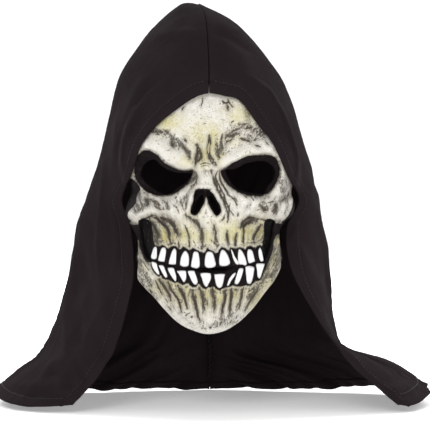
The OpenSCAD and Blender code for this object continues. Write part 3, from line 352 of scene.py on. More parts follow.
# Mottled dark washes: sheet, points of a soft line, half width, strength
WASH = [("P", [(138, 180), (136.5, 190), (139, 199), (140, 208)], 4.5, 1.0), ("P", [(131, 205), (136, 212)], 3.5, 0.8), ("P", [(142, 190), (150, 199), (160, 205), (168, 207)], 3.6, 0.85), ("P", [(174, 190), (181, 196), (189, 208)], 5.0, 0.7), ("P", [(240, 194), (250, 200), (247, 208)], 3.6, 0.55), ("P", [(134, 206), (139, 200), (146, 204)], 4.0, 0.95),
        # The last entry on the next line darkens the right cheek lobe: painted shade.
        ("P", [(277, 170), (281, 182), (284, 194), (280, 202)], 4.0, 0.85), ("P", [(270, 145), (277, 152), (280, 162)], 4.0, 0.55), ("P", [(261, 206), (265, 208)], 2.6, 1.0), ("P", [(276, 205), (275, 213)], 2.8, 1.0), ("P", [(283, 196), (288, 206), (285, 214)], 2.6, 0.75),
        ("P", [(137, 140), (136, 152), (137, 166)], 2.4, 0.3), ("P", [(142, 141), (152, 148), (160, 154)], 3.0, 0.4), ("P", [(202, 158), (204, 170), (206, 182)], 3.4, 0.75), ("P", [(266, 262), (264, 272), (257, 280)], 3.4, 0.85), ("P", [(216, 178), (220, 190), (223, 204)], 4.0, 0.8),
        ("P", [(222, 150), (226, 138), (236, 130)], 5.0, 0.85), ("P", [(242, 124), (252, 124)], 4.0, 0.5), ("P", [(258, 134), (266, 140)], 4.0, 0.5), ("P", [(246, 112), (250, 122)], 3.0, 0.6),
        ("P", [(154, 224), (158, 238), (160, 250)], 4.4, 1.0), ("P", [(166, 222), (172, 238), (175, 250)], 4.0, 0.7), ("P", [(244, 226), (250, 221), (257, 222)], 2.6, 0.9), ("P", [(258, 228), (252, 240), (252, 250)], 4.0, 0.6),
        ("P", [(139, 262), (142, 272), (150, 284)], 5.0, 0.85), ("P", [(139, 276), (146, 288), (156, 298)], 4.0, 0.75), ("P", [(279, 248), (277, 262), (272, 276)], 5.0, 0.9), ("P", [(268, 272), (260, 284), (250, 296)], 6.0, 0.8),
        ("P", [(240, 284), (250, 280), (262, 270)], 4.5, 0.85), ("P", [(238, 306), (228, 318), (214, 326)], 4.0, 0.75), ("P", [(170, 300), (180, 314), (192, 324)], 4.0, 0.5), ("P", [(165, 286), (200, 294), (236, 290)], 6.0, 0.55),
        ("A", [(430, 700), (560, 730), (700, 760), (800, 860), (900, 900), (980, 960)], 62, 0.9), ("A", [(960, 960), (1040, 1080), (1090, 1200)], 60, 0.75), ("A", [(300, 830), (250, 930), (240, 1000)], 60, 0.6), ("A", [(840, 920), (900, 960)], 60, 0.9),
        ("A", [(1200, 1000), (1220, 1150), (1180, 1300)], 50, 0.5), ("B", [(290, 800), (300, 950), (330, 1010)], 50, 0.7), ("B", [(380, 840), (470, 780), (580, 730)], 70, 0.8), ("B", [(440, 600), (480, 680)], 60, 0.55), ("B", [(620, 620), (740, 640), (850, 700), (960, 760)], 80, 0.8),
        ("B", [(700, 800), (850, 850), (960, 860)], 70, 0.65), ("B", [(870, 600), (960, 720), (1040, 850)], 50, 0.7), ("B", [(100, 900), (200, 1000), (260, 1120)], 50, 0.4), ("B", [(1060, 900), (1120, 1000)], 50, 0.45),
        ("C", [(60, 760), (150, 740), (250, 780), (320, 740)], 80, 0.8), ("C", [(420, 720), (540, 780), (660, 790)], 80, 0.75), ("C", [(160, 560), (230, 640), (340, 660)], 40, 0.6), ("C", [(820, 560), (860, 700), (880, 860)], 70, 0.55), ("C", [(1020, 560), (1000, 700), (980, 840)], 50, 0.5),
        ("C", [(1240, 1150), (1260, 1300), (1270, 1500)], 50, 0.6), ("C", [(400, 1100), (480, 1300)], 60, 0.55), ("C", [(600, 1150), (640, 1350)], 50, 0.4), ("C", [(60, 960), (130, 1020)], 60, 0.4), ("C", [(1280, 150), (1350, 260), (1400, 300)], 50, 0.35),
        ("D", [(120, 200), (200, 450), (280, 650), (340, 850)], 70, 0.6), ("D", [(420, 560), (520, 700)], 50, 0.45), ("D", [(1350, 320), (1400, 480), (1430, 640)], 80, 0.75), ("D", [(1000, 700), (1010, 860)], 70, 0.7), ("D", [(1180, 760), (1190, 920)], 80, 0.75), ("D", [(1270, 880), (1320, 900)], 50, 0.5),
        ("D", [(420, 850), (480, 950)], 50, 0.5), ("D", [(700, 1080), (800, 1050)], 60, 0.8), ("D", [(700, 1300), (760, 1400)], 70, 0.4), ("D", [(860, 1300), (940, 1380)], 60, 0.5), ("D", [(200, 1200), (180, 1400)], 40, 0.4), ("D", [(1300, 960), (1400, 940)], 60, 0.3),
        ("E", [(520, 700), (640, 860)], 60, 0.6), ("E", [(700, 720), (820, 900)], 60, 0.45), ("E", [(1000, 860), (1100, 1000)], 60, 0.4), ("E", [(240, 500), (260, 620)], 70, 0.4), ("E", [(1180, 1300), (1200, 1420), (1340, 1400)], 50, 0.5), ("E", [(900, 1180), (1040, 1240)], 60, 0.45), ("E", [(620, 1080), (700, 1160)], 50, 0.4),
        ("F", [(120, 860), (130, 1080)], 60, 0.6), ("F", [(560, 860), (520, 1060)], 60, 0.45), ("F", [(300, 860), (280, 1060)], 40, 0.5), ("F", [(200, 1250), (330, 1320), (440, 1320)], 80, 0.6), ("F", [(460, 1240), (560, 1230)], 60, 0.6), ("F", [(20, 1360), (120, 1400)], 50, 0.45), ("F", [(1120, 470), (1160, 520)], 50, 0.4)]
# Yellow and olive tints: sheet, centre, half sizes, strength
YELLOW = [("A", 650, 560, 260, 180, 0.75), ("A", 1250, 800, 260, 260, 0.55), ("A", 1300, 1150, 160, 200, 0.8), ("A", 1050, 1230, 160, 120, 0.45), ("B", 120, 900, 150, 300, 0.75), ("B", 220, 1100, 110, 150, 0.8), ("B", 600, 420, 260, 200, 0.55), ("B", 450, 850, 180, 140, 0.4), ("B", 740, 400, 90, 220, 0.6),
          ("C", 620, 1330, 300, 180, 1.0), ("C", 1000, 1300, 330, 190, 0.75), ("C", 420, 1250, 80, 200, 0.9), ("C", 1350, 1350, 200, 160, 0.6), ("C", 1150, 950, 200, 120, 0.3), ("D", 600, 1280, 450, 200, 0.85), ("D", 930, 1250, 200, 190, 0.9), ("D", 300, 1150, 260, 160, 0.4), ("D", 1220, 1380, 70, 190, 0.9),
          ("E", 620, 740, 260, 160, 0.75), ("E", 900, 860, 240, 190, 0.7), ("E", 1200, 880, 200, 200, 0.75), ("E", 220, 450, 110, 160, 0.35), ("F", 150, 880, 240, 190, 0.8), ("F", 450, 860, 240, 170, 0.65), ("F", 780, 850, 160, 160, 0.75), ("F", 1080, 280, 110, 330, 0.85), ("F", 960, 620, 140, 200, 0.7), ("F", 720, 1000, 140, 140, 0.4)]
OLIVE = [("B", 730, 330, 70, 230, 0.9), ("B", 660, 220, 90, 60, 0.6), ("A", 700, 430, 160, 40, 0.5), ("A", 590, 520, 60, 60, 0.4), ("C", 480, 1300, 60, 160, 0.45), ("D", 880, 1330, 90, 120, 0.4), ("E", 560, 720, 120, 120, 0.5), ("E", 820, 840, 90, 100, 0.4), ("F", 1050, 200, 45, 260, 0.8), ("F", 760, 880, 70, 150, 0.6), ("F", 960, 480, 60, 140, 0.6), ("E", 330, 420, 60, 140, 0.5), ("E", 1160, 850, 80, 90, 0.4)]

# Broad brown shading: sheet, points, half width, strength
SHADE = [("P", [(149, 222), (153.5, 232), (156, 248)], 3.4, 1.0), ("P", [(266, 260), (265, 270), (258, 279)], 2.6, 0.8), ("P", [(202, 160), (204, 172)], 2.4, 0.4), ("P", [(158, 219), (167, 226), (172, 238), (174, 250)], 3.4, 0.9), ("P", [(166, 217), (175, 223), (180, 236)], 3.0, 0.7), ("P", [(192, 222), (199, 232), (201, 246)], 3.0, 0.6),
         ("P", [(241, 227), (245, 221.5), (251, 218.6), (258, 219.6)], 2.6, 0.95), ("P", [(244, 224), (246, 238), (243, 250)], 3.0, 0.6), ("P", [(262, 226), (256, 240), (255, 250)], 3.0, 0.65), ("P", [(214, 226), (216, 240)], 2.4, 0.45),
         ("P", [(158, 283), (166, 296), (174, 308)], 3.6, 0.7), ("P", [(178, 288), (186, 302), (190, 314)], 3.6, 0.65), ("P", [(196, 292), (200, 308)], 3.6, 0.55), ("P", [(210, 292), (208, 310)], 3.4, 0.6), ("P", [(226, 290), (222, 308)], 3.6, 0.6), ("P", [(240, 284), (232, 304)], 3.6, 0.6),
         ("P", [(252, 278), (262, 266), (268, 252)], 3.0, 0.55), ("P", [(150, 264), (146, 256)], 3.4, 0.6), ("P", [(282, 250), (283, 262), (278, 276), (268, 288)], 2.6, 0.7), ("P", [(240, 312), (228, 324)], 2.4, 0.5), ("P", [(137, 262), (137, 276), (143, 287)], 2.2, 0.5),
         ("P", [(178, 140), (188, 150), (194, 158)], 3.0, 0.25), ("P", [(223, 152), (225, 140), (230, 132)], 3.4, 0.45), ("P", [(218, 180), (224, 196), (228, 210)], 3.0, 0.5), ("P", [(277, 146), (284, 160)], 2.6, 0.5),
         # The second entry on the next line darkens the right cheek lobe: painted shade.
         ("P", [(138, 184), (141, 192), (139, 203)], 3.0, 0.7), ("P", [(283, 184), (287, 198), (287, 210)], 2.6, 0.55)]

BROW_L = crom([(-63, 25), (-58, 29.5), (-51, 30), (-44, 26.8), (-36, 20.8), (-28, 15.2), (-20, 10.8), (-13.5, 8.8)])
BROW_R = crom([(63, 20), (58, 25.5), (51, 28), (43, 27), (35, 22.6), (27, 17.6), (19, 12.8), (9.5, 8.6)])
RIM_L = crom([(-69, 18), (-69, 8), (-66, 0), (-60, -8), (-52, -15), (-42, -19.5), (-33, -18.5), (-26, -13)])
RIM_R = crom([(65, 20), (65.5, 8), (64, -2), (58, -12), (50, -18.5), (41, -20), (32, -18), (24, -13)])


def relief(x, z):
    """How far the sculpted features stand out of the egg shape, in mm, at a place on the face plane."""
    m = np.abs(x + 1)
    h = 3 * bump(m, z, 0, 48, 40, 24) - 3.5 * bump(m, z, 57, 48, 9, 14)
    for line in (BROW_L, BROW_R):
        d, t = seg_dist(x, z, line)
        h += 7.6 * np.exp(-(d / 7.2) ** 2) * (0.55 + 0.45 * np.sin(np.pi * np.clip(t, 0.05, 0.95)) ** 0.5)
    el, er = signed(x, z, EYE_L), signed(x, z, EYE_R)
    for e in (el, er):
        h -= 7.5 * np.exp(-(np.maximum(e, 0) / 5.2) ** 2)
    for line in (RIM_L, RIM_R):
        d, t = seg_dist(x, z, line)
        h += 3.6 * np.exp(-(d / 4.6) ** 2)
    # bridge and nose
    h += 6.5 * bump(x, z, -3.4, 0, 5.4, 13) + 2.2 * bump(x, z, -3.4, 10.2, 4.2, 3.2) - 1.6 * bump(x, z, -3.4, 5.6, 6, 1.6)
    nb = signed(x, z, NOSE_BLK)
    h -= 6.5 * sstep(0.4, -3.0, nb)
    h += 2.0 * np.exp(-((nb - 2.2) / 1.9) ** 2)
    d, _ = seg_dist(x, z, SEPTUM)
    h += 4.2 * np.exp(-(d / 1.1) ** 2)
    # cheekbones with an undercut lower edge, hollows, dental arch, chin
    h += 8.5 * bump(m, z, 60, -26, 12, 8.5)
    cheek_l, _ = seg_dist(x, z, crom([(-72, -33), (-64, -34.5), (-56, -31.5), (-48, -28), (-38, -26.5), (-28, -28)]))
    cheek_r, _ = seg_dist(x, z, crom([(70, -32), (62, -34), (54, -33), (46, -32.5), (38, -31.5), (30, -33)]))
    h += 3.2 * np.exp(-(cheek_l / 4.4) ** 2) + 3.2 * np.exp(-(cheek_r / 4.4) ** 2)
    h -= 7.0 * bump(m, z, 48, -47, 9, 8) + 4.0 * bump(x, z, -42, -40.5, 8, 4) + 4.5 * bump(x, z, 37, -40, 8, 4)
    h += 5.5 * bump(m, z, 0, -60, 33, 21)
    h += 5.0 * bump(m, z, 0, -124, 22, 10) - 3.2 * bump(m, z, 0, -104, 34, 6)
    g = signed(x, z, GUM)
    h += 1.5 * sstep(0.8, -1.6, g)
    h += 1.3 * np.exp(-((g - 1.3) / 0.9) ** 2)
    slit, _ = seg_dist(x, z, JAW[5:18])
    h -= 1.6 * np.exp(-(slit / 1.5) ** 2) * (np.abs(x) < 52)
    h += 2.6 * bump(m, z, 62, -88, 8, 14) - 1.2 * bump(m, z, 50, -98, 6, 9)
    # frown lines between the brows
    h -= 1.6 * bump(m, z, 7.5, 25, 2.6, 11)
    # listed grooves
    for sh, pts, w, dark, deep in LINES:
        if deep <= 0:
            continue
        p = on(sh, pts)
        if len(p) > 2:
            p = crom(p, n=4)
        s = SHEETS[sh][2] * w * (1.55 if w >= 17 else 1.15)
        deep = deep * (1.3 if w >= 17 else 1.0)
        near = (x > p[:, 0].min() - 4 * s) & (x < p[:, 0].max() + 4 * s) & (z > p[:, 1].min() - 4 * s) & (z < p[:, 1].max() + 4 * s)
        if near.any():
            d, t = seg_dist(x[near], z[near], p)
            tap = np.clip(np.minimum(t, 1 - t) / 0.18, 0.35, 1)
            h[near] -= deep * tap * np.exp(-(d / s) ** 2) - 0.35 * deep * tap * np.exp(-((d - 2.1 * s) / (0.9 * s)) ** 2)
    for sh, px, pz, r, dark, deep in SPOTS:
        q = on(sh, [(px, pz)])[0]
        s = SHEETS[sh][2] * r
        h -= deep * np.exp(-(((x - q[0]) ** 2 + (z - q[1]) ** 2) / s**2))
    # the latex's own unevenness
    h += 0.55 * fbm(x, z, 15, 2, 3) + 0.34 * fbm(x, z, 5.0, 3, 9)
    lump = np.abs(fbm(x, z, 3.4, 2, 21))
    h -= 0.5 * sstep(0.05, 0.0, lump) * (0.4 + 0.6 * sstep(-0.1, 0.35, fbm(x, z, 18, 2, 5)))
    return h


def face_y(x, z):
    y0 = base_y(x, z)
    xp, zp = plane(x, y0 - 4, z)
    return y0 - relief(xp, zp)


def surf(xp, zp):
    """The point of the skin seen at a place on the face plane."""
    xp, zp = np.asarray(xp, float), np.asarray(zp, float)
    y = np.full(xp.shape, -95.0)
    for _ in range(4):
        k = (y - CAM[1]) / (FACE_PLANE - CAM[1])
        x, z = CAM[0] + (xp - CAM[0]) * k, CAM[2] + (zp - CAM[2]) * k
        y = face_y(x, z)
    return np.stack([x, y, z], -1)


def flow(xp, zp):
    """Coordinates along and across the brush strokes: they fan up from the chin, and out from the root of the nose."""
    r1, a1 = np.hypot(xp + 3, zp + 185), np.arctan2(xp + 3, zp + 185)
    r2, a2 = np.hypot(xp + 3, zp + 6), np.arctan2(xp + 3, zp + 6)
    return np.stack([r1, a1 * 95, sstep(-9, 5, zp)], -1), np.stack([r2, a2 * 48, np.zeros_like(r2)], -1)


def soften(a, n):
    for _ in range(n):
        a = np.pad(a, 1, mode="edge")
        a = (a[:-2] + 2 * a[1:-1] + a[2:])[:, 1:-1] / 4
        a = np.pad(a, 1, mode="edge")
        a = (a[:, :-2] + 2 * a[:, 1:-1] + a[:, 2:])[1:-1] / 4
    return a


# ------------------------------------------------------------------ paint, worked out for every vertex
def paint(xp, zp):
    """Masks: dark (painted lines), black, yellow, olive, wash (mottling), shade (soft brown beside the lines)."""
    n = xp.shape
    dark, wash, shade = np.zeros(n), np.zeros(n), np.zeros(n)
    wob = 0.35 * fbm(xp, zp, 2.2, 2, 61)
    wob2 = 0.35 * fbm(xp, zp, 2.2, 2, 71)
    x, z = xp + wob, zp + wob2
    for sh, pts, w, dk, deep in LINES:
        p = on(sh, pts)
        if len(p) > 2:
            p = crom(p, n=4)
        s = SHEETS[sh][2] * w * 1.02
        near = (x > p[:, 0].min() - 4 * s) & (x < p[:, 0].max() + 4 * s) & (z > p[:, 1].min() - 4 * s) & (z < p[:, 1].max() + 4 * s)
        if near.any():
            d, t = seg_dist(x[near], z[near], p)
            tap = 0.42 + (0.68 if w > 13 else 0.5) * np.sin(np.pi * np.clip(t, 0, 1) ** 0.75)
            dark[near] = np.maximum(dark[near], dk * np.exp(-((d / (0.95 * s * tap)) ** 2) ** 1.1))
            wash[near] = np.maximum(wash[near], 0.75 * dk * np.exp(-(d / (2.2 * s)) ** 2))
            if w > 11:
                shade[near] = np.maximum(shade[near], min(1, w / 20) * dk * (0.7 + 0.3 * tap) * np.exp(-(d / (2.3 * s + 0.8)) ** 2))
    for sh, px, pz, r, dk, deep in SPOTS:
        q = on(sh, [(px, pz)])[0]
        s = SHEETS[sh][2] * r
        d2 = ((x - q[0]) ** 2 + (z - q[1]) ** 2) / s**2
        dark = np.maximum(dark, dk * np.exp(-(d2**1.2)))
    for sh, pts, w, st in WASH:
        p = on(sh, pts)
        if len(p) > 2:
            p = crom(p, n=4)
        s = SHEETS[sh][2] * w
        near = (x > p[:, 0].min() - 4 * s) & (x < p[:, 0].max() + 4 * s) & (z > p[:, 1].min() - 4 * s) & (z < p[:, 1].max() + 4 * s)
        if near.any():
            d, t = seg_dist(x[near], z[near], p)
            wash[near] = np.maximum(wash[near], st * np.exp(-(d / (1.25 * s)) ** 2))
    for sh, pts, w, st in SHADE:
        p = crom(on(sh, pts), n=5) if len(pts) > 2 else on(sh, pts)
        s = SHEETS[sh][2] * w
        d, t = seg_dist(x, z, p)
        shade = np.maximum(shade, st * (0.45 + 0.55 * np.sin(np.pi * np.clip(t, 0, 1))) * np.exp(-(d / s) ** 2))
    yel, oli = np.zeros(n), np.zeros(n)
    for arr, rows in ((yel, YELLOW), (oli, OLIVE)):
        for sh, px, pz, rx, rz, st in rows:
            q = on(sh, [(px, pz)])[0]
            s = SHEETS[sh][2]
            e = st * np.exp(-(((xp - q[0]) / (s * rx)) ** 2 + ((zp - q[1]) / (s * rz)) ** 2) * 0.9)
            np.maximum(arr, e, out=arr)
    # black: round the eyes, in the nose, the gums, and the rims
    jit = 0.5 * fbm(xp, zp, 2.6, 2, 91)
    bl = signed(xp, zp, BLK_L) + jit
    br = signed(xp, zp, BLK_R) + jit
    nb = signed(xp, zp, NOSE_BLK) + 0.5 * jit
    gm = signed(xp, zp, GUM) + 0.3 * jit
    black = np.maximum.reduce([sstep(0.9, -0.5, bl), sstep(0.9, -0.5, br), sstep(0.55, -0.35, nb), sstep(0.35, -0.35, gm)])
    sd, _ = seg_dist(xp, zp, SEPTUM)
    black = black * (1 - np.exp(-(sd / 0.8) ** 2) * (0.42 + 0.5 * sstep(-18.5, -22.0, zp)) * (zp > -23.4))
    for hole in (NOSE_L, NOSE_R):
        black = np.maximum(black, sstep(1.1, 0.5, signed(xp, zp, hole)))
    oli = np.maximum(oli, 0.5 * np.maximum(np.exp(-(np.maximum(bl, 0) / 1.8) ** 2), np.exp(-(np.maximum(br, 0) / 1.8) ** 2)) * (zp > -14))
    for d in (bl, br, nb):
        shade = np.maximum(shade, 0.75 * np.exp(-(np.maximum(d, 0) / 1.5) ** 2))
        wash = np.maximum(wash, 0.72 * np.exp(-(np.maximum(d, 0) / 2.6) ** 2))
    shade = np.maximum(shade, 0.9 * np.exp(-(np.maximum(gm, 0) / 1.5) ** 2))
    wash = np.maximum(wash, 0.62 * np.exp(-(np.maximum(gm, 0) / 4.5) ** 2))
    web = np.maximum(np.exp(-(np.maximum(signed(xp, zp, WEB_L), 0) / 1.3) ** 2), np.exp(-(np.maximum(signed(xp, zp, WEB_R), 0) / 1.3) ** 2))
    black = np.maximum(black, 0.95 * web)
    for poly in (HOOD_SHADOW_L, HOOD_SHADOW_R):      # painted shadow: black where the hood's edge lies over the cheek, with painted shade beside it
        d = signed(xp, zp, poly) + 0.5 * jit
        black = np.maximum(black, sstep(0.7, -0.9, d))
        shade = np.maximum(shade, 0.6 * np.exp(-(np.maximum(d, 0) / 1.6) ** 2))
    for poly in (DARK_L, DARK_R):
        d = signed(xp, zp, poly) + 0.8 * jit
        black = np.maximum(black, sstep(1.0, -1.0, d))
        shade = np.maximum(shade, np.exp(-(np.maximum(d, 0) / 3.0) ** 2))
        wash = np.maximum(wash, 0.8 * np.exp(-(np.maximum(d, 0) / 4.5) ** 2))
    wash = np.maximum(wash, 0.24 + 0.25 * fbm(xp, zp, 22, 2, 33))
    return dark, black, yel, oli, np.clip(wash, 0, 1), shade


# ------------------------------------------------------------------ meshes
M = 0.001


def add_mesh(name, verts, faces, smooth=True):
    me = bpy.data.meshes.new(name)
    me.from_pydata([tuple(v) for v in np.asarray(verts) * M], [], [tuple(int(i) for i in f) for f in faces])
    me.update()
    ob = bpy.data.objects.new(name, me)
    bpy.context.scene.collection.objects.link(ob)
    if smooth:
        me.polygons.foreach_set("use_smooth", [True] * len(me.polygons))
    return ob


def add_quads(name, verts, quads, smooth=True):
    """Fast path for many faces of four corners."""
    verts = np.asarray(verts, np.float32) * M
    quads = np.asarray(quads, np.int32)
    me = bpy.data.meshes.new(name)
    me.vertices.add(len(verts))
    me.vertices.foreach_set("co", verts.ravel())
    me.loops.add(quads.size)
    me.loops.foreach_set("vertex_index", quads.ravel())
    me.polygons.add(len(quads))
    me.polygons.foreach_set("loop_start", np.arange(0, quads.size, 4, dtype=np.int32))
    me.polygons.foreach_set("loop_total", np.full(len(quads), 4, np.int32))
    me.polygons.foreach_set("use_smooth", np.full(len(quads), smooth, bool))
    me.update(calc_edges=True)
    me.validate()
    ob = bpy.data.objects.new(name, me)
    bpy.context.scene.collection.objects.link(ob)
    return ob


def put_attr(ob, name, data):
    data = np.asarray(data, np.float32)
    if data.ndim == 1:
        a = ob.data.attributes.new(name, "FLOAT", "POINT")
        a.data.foreach_set("value", data)
    elif data.shape[1] == 4:
        a = ob.data.attributes.new(name, "FLOAT_COLOR", "POINT")
        a.data.foreach_set("color", data.ravel())
    else:
        a = ob.data.attributes.new(name, "FLOAT_VECTOR", "POINT")
        a.data.foreach_set("vector", data.ravel())


def grid_normals(p):
    """Outward normals of a grid p[row, col, 3] whose rows go up and columns go to +X, facing -Y."""
    du = np.gradient(p, axis=1)
    dv = np.gradient(p, axis=0)
    n = np.cross(du, dv)
    return n / np.maximum(np.linalg.norm(n, axis=2, keepdims=True), 1e-9)


def height_normals(x, z, pull=0.985, h=0.8):
    """Outward normals of the face taken from the form itself, a hair inside the outline."""
    xi, zi = C0[0] + (x - C0[0]) * pull, C0[1] + (z - C0[1]) * pull
    n = np.stack([(face_y(xi + h, zi) - face_y(xi - h, zi)) / (2 * h), -np.ones(x.shape), (face_y(xi, zi + h) - face_y(xi, zi - h)) / (2 * h)], -1)
    return n / np.linalg.norm(n, axis=-1, keepdims=True)


FINE = 1
NX, NZ = 300 // FINE, 410 // FINE
LATEX = 2.0


def disc_grid(nx, nz):
    a, b = np.meshgrid(np.linspace(-1, 1, nx + 1), np.linspace(-1, 1, nz + 1))
    u, w = a * np.sqrt(1 - b * b / 2), b * np.sqrt(1 - a * a / 2)
    rho = np.minimum(1, np.hypot(u, w))
    phi = np.degrees(np.arctan2(w, u))
    s = np.sin(np.radians(72 * rho)) / math.sin(math.radians(72))
    r = outline_radius(phi) * s
    return C0[0] + r * np.cos(np.radians(phi)), C0[1] + r * np.sin(np.radians(phi))


def cut_skin(nx, nz):
    """The whole face as a grid, its vertices moved on to the outlines of the openings, and the kept cells of the upper face and the jaw."""
    x, z = disc_grid(nx, nz)
    holes = [EYE_L, EYE_R, NOSE_L, NOSE_R, MOUTH, WEB_L, WEB_R]

    def to_plane(x, z):
        return plane(x, base_y(x, z) - 4, z)

    def centres(v):
        return (v[:-1, :-1] + v[1:, :-1] + v[:-1, 1:] + v[1:, 1:]) / 4

    xp, zp = to_plane(x, z)
    xc, zc = centres(xp), centres(zp)
    gone = np.zeros(xc.shape, bool)
    for h in holes:
        near = (xc > h[:, 0].min() - 1) & (xc < h[:, 0].max() + 1) & (zc > h[:, 1].min() - 1) & (zc < h[:, 1].max() + 1)
        gone[near] |= inside(xc[near], zc[near], h)
    jaw = inside(xc, zc, JAW)
    # vertices on a border between kinds of cell slide on to the nearest outline
    kind = np.where(gone, 2, jaw.astype(int))
    pad = np.pad(kind, 1, mode="edge")
    corner = np.stack([pad[:-1, :-1], pad[1:, :-1], pad[:-1, 1:], pad[1:, 1:]])
    border = corner.min(0) != corner.max(0)
    touches_gone = (corner == 2).any(0)
    jl = JAW[:21]
    for _ in range(2):
        bx, bz = xp[border], zp[border]
        best = np.full(bx.shape, 1e9)
        tx, tz = bx.copy(), bz.copy()
        tg = touches_gone[border]
        for k, line in enumerate([*holes, jl]):
            closed = k < len(holes)
            a = line if closed else line[:-1]
            b = np.roll(line, -1, 0) if closed else line[1:]
            for i in range(len(a)):
                e = b[i] - a[i]
                L = max(np.hypot(*e), 1e-9)
                e = e / L
                t = np.clip((bx - a[i, 0]) * e[0] + (bz - a[i, 1]) * e[1], 0, L)
                qx, qz = a[i, 0] + t * e[0], a[i, 1] + t * e[1]
                d = np.hypot(bx - qx, bz - qz)
                ok = (d < best) & (tg if closed else ~tg)
                best = np.where(ok, d, best)
                tx, tz = np.where(ok, qx, tx), np.where(ok, qz, tz)
        k = np.where(best < 1.6, 1.0, 0.0)
        dx, dz = (tx - bx) * k, (tz - bz) * k
        x[border] += dx
        z[border] += dz
        xp, zp = to_plane(x, z)
    return x, z, gone, jaw


def quads_of(mask, nz, nx):
    r, c = np.nonzero(mask)
    w = nx + 1
    return np.stack([r * w + c, r * w + c + 1, (r + 1) * w + c + 1, (r + 1) * w + c], 1)


def compact(quads, *arrays):
    used = np.unique(quads)
    remap = np.full(used.max() + 1, -1)
    remap[used] = np.arange(len(used))
    return remap[quads], [a[used] for a in arrays], used


def border_edges(quads):
    e = np.concatenate([quads[:, [0, 1]], quads[:, [1, 2]], quads[:, [2, 3]], quads[:, [3, 0]]])
    key = np.sort(e, 1)
    _, idx, cnt = np.unique(key, axis=0, return_index=True, return_counts=True)
    return e[idx[cnt == 1]]


def skin_piece(name, outer, normals, masks, keep, nz, nx, inner):
    """A skin with real thickness: the fine outer face, a wall round every edge, and a coarser inside."""
    q = quads_of(keep, nz, nx)
    P, N = outer.reshape(-1, 3), normals.reshape(-1, 3)
    cols = [m.reshape(-1) for m in masks]
    q2, (p, n, *cs), used = compact(q, P, N, *cols)
    e = border_edges(q2)
    ev = np.unique(e)
    pos = np.full(len(p), -1)
    pos[ev] = np.arange(len(ev)) + len(p)
    pin = p[ev] - LATEX * n[ev]
    wall = np.stack([e[:, 1], e[:, 0], pos[e[:, 0]], pos[e[:, 1]]], 1)
    iq, ip = inner
    verts = np.concatenate([p, pin, ip])
    quads = np.concatenate([q2, wall, iq + len(p) + len(pin)])
    zero = np.zeros(len(ip))
    out = []
    for k, c in enumerate(cs):
        rim = c[ev] if k != 1 else np.maximum(c[ev], 1.3)  # the cut edges are painted black with the rims
        out.append(np.concatenate([c, rim, zero]))
    # the black goes a little way round on to the inside of each opening
    ix, iz = plane(ip[:, 0], ip[:, 1], ip[:, 2])
    lip = np.zeros(len(ip))
    for hole in (EYE_L, EYE_R, NOSE_L, NOSE_R, MOUTH, WEB_L, WEB_R):
        d, _ = seg_dist(ix, iz, hole, True)
        lip = np.maximum(lip, sstep(6.0, 3.0, d))
    d, _ = seg_dist(ix, iz, JAW[2:20])
    lip = np.maximum(lip, sstep(9.0, 6.0, d))
    out[1][len(p) + len(pin):] = 1.3 * lip
    ins = np.concatenate([np.zeros(len(p)), np.full(len(pin), 0.5), 1 - lip])
    ob = add_quads(name, verts, quads)
    dark, black, yel, oli, wash, shade = out
    fx, fz = plane(verts[:, 0], verts[:, 1], verts[:, 2])
    f1, f2 = flow(fx, fz)
    f2[:, 2] = shade
    put_attr(ob, "flow_a", f1)
    put_attr(ob, "flow_b", f2)
    put_attr(ob, "paint_a", np.stack([dark, black, yel, np.ones(len(dark))], 1))
    put_attr(ob, "paint_b", np.stack([oli, wash, ins, np.ones(len(dark))], 1))
    put_attr(ob, "rest", verts)
    dull = (black[quads].mean(1) > 0.55).astype(np.int32)
    return ob, dull


def inner_skin(keep_of):
    nx, nz = 110, 150
    x, z, gone, jaw = cut_skin(nx, nz)
    y = face_y(x, z)
    p = np.stack([x, y, z], -1)
    # the inside follows the outside smoothly
    for _ in range(2):
        p[1:-1, 1:-1, 1] = (p[1:-1, 1:-1, 1] * 2 + p[:-2, 1:-1, 1] + p[2:, 1:-1, 1] + p[1:-1, :-2, 1] + p[1:-1, 2:, 1]) / 6
    p = p - (LATEX + 0.15) * height_normals(x, z, 0.98, 1.2)
    q = quads_of(keep_of(gone, jaw), nz, nx)
    q2, (pp,), _ = compact(q, p.reshape(-1, 3))
    return q2[:, ::-1], pp


x, z, gone, jaw = cut_skin(NX, NZ)
y = face_y(x, z)
outer = np.stack([x, y, z], -1)
normals = grid_normals(np.stack([x, soften(y, 8), z], -1))
# the corner cells of the grid are flat against the rim, so there the direction comes from the form
w_ = max(8, NZ // 14)
for a_ in (slice(0, w_), slice(-w_, None)):
    for b_ in (slice(0, w_), slice(-w_, None)):
        normals[a_, b_] = height_normals(x[a_, b_], z[a_, b_])
xp, zp = plane(x, y, z)
masks = list(paint(xp, zp))
# the wash settles in the hollows and is wiped off the ridges
near_, far_ = y - soften(y, 6), y - soften(soften(y, 40), 40)
masks[4] = np.clip(masks[4] + 0.42 * sstep(0.02, 0.35, near_) + 0.34 * sstep(0.2, 2.2, far_) - 0.30 * sstep(-0.02, -0.30, near_) - 0.12 * sstep(-0.3, -2.2, far_), 0, 1)
masks[5] = np.clip(masks[5] + 0.30 * sstep(0.25, 2.4, far_) * (zp < -36), 0, 1)
face_skin, face_dull = skin_piece("face_skin", outer, normals, masks, ~gone & ~jaw, NZ, NX, inner_skin(lambda g, j: ~g & ~j))
jaw_skin, jaw_dull = skin_piece("jaw_skin", outer, normals, masks, ~gone & jaw, NZ, NX, inner_skin(lambda g, j: ~g & j))
print("skin pieces", len(face_skin.data.polygons), len(jaw_skin.data.polygons))

# ------------------------------------------------------------------ materials
def material(name):
    m = bpy.data.materials.new(name)
    m.use_nodes = True
    nt = m.node_tree
    nt.nodes.clear()
    out = nt.nodes.new("ShaderNodeOutputMaterial")
    b = nt.nodes.new("ShaderNodeBsdfPrincipled")
    nt.links.new(b.outputs[0], out.inputs[0])
    return m, nt, b


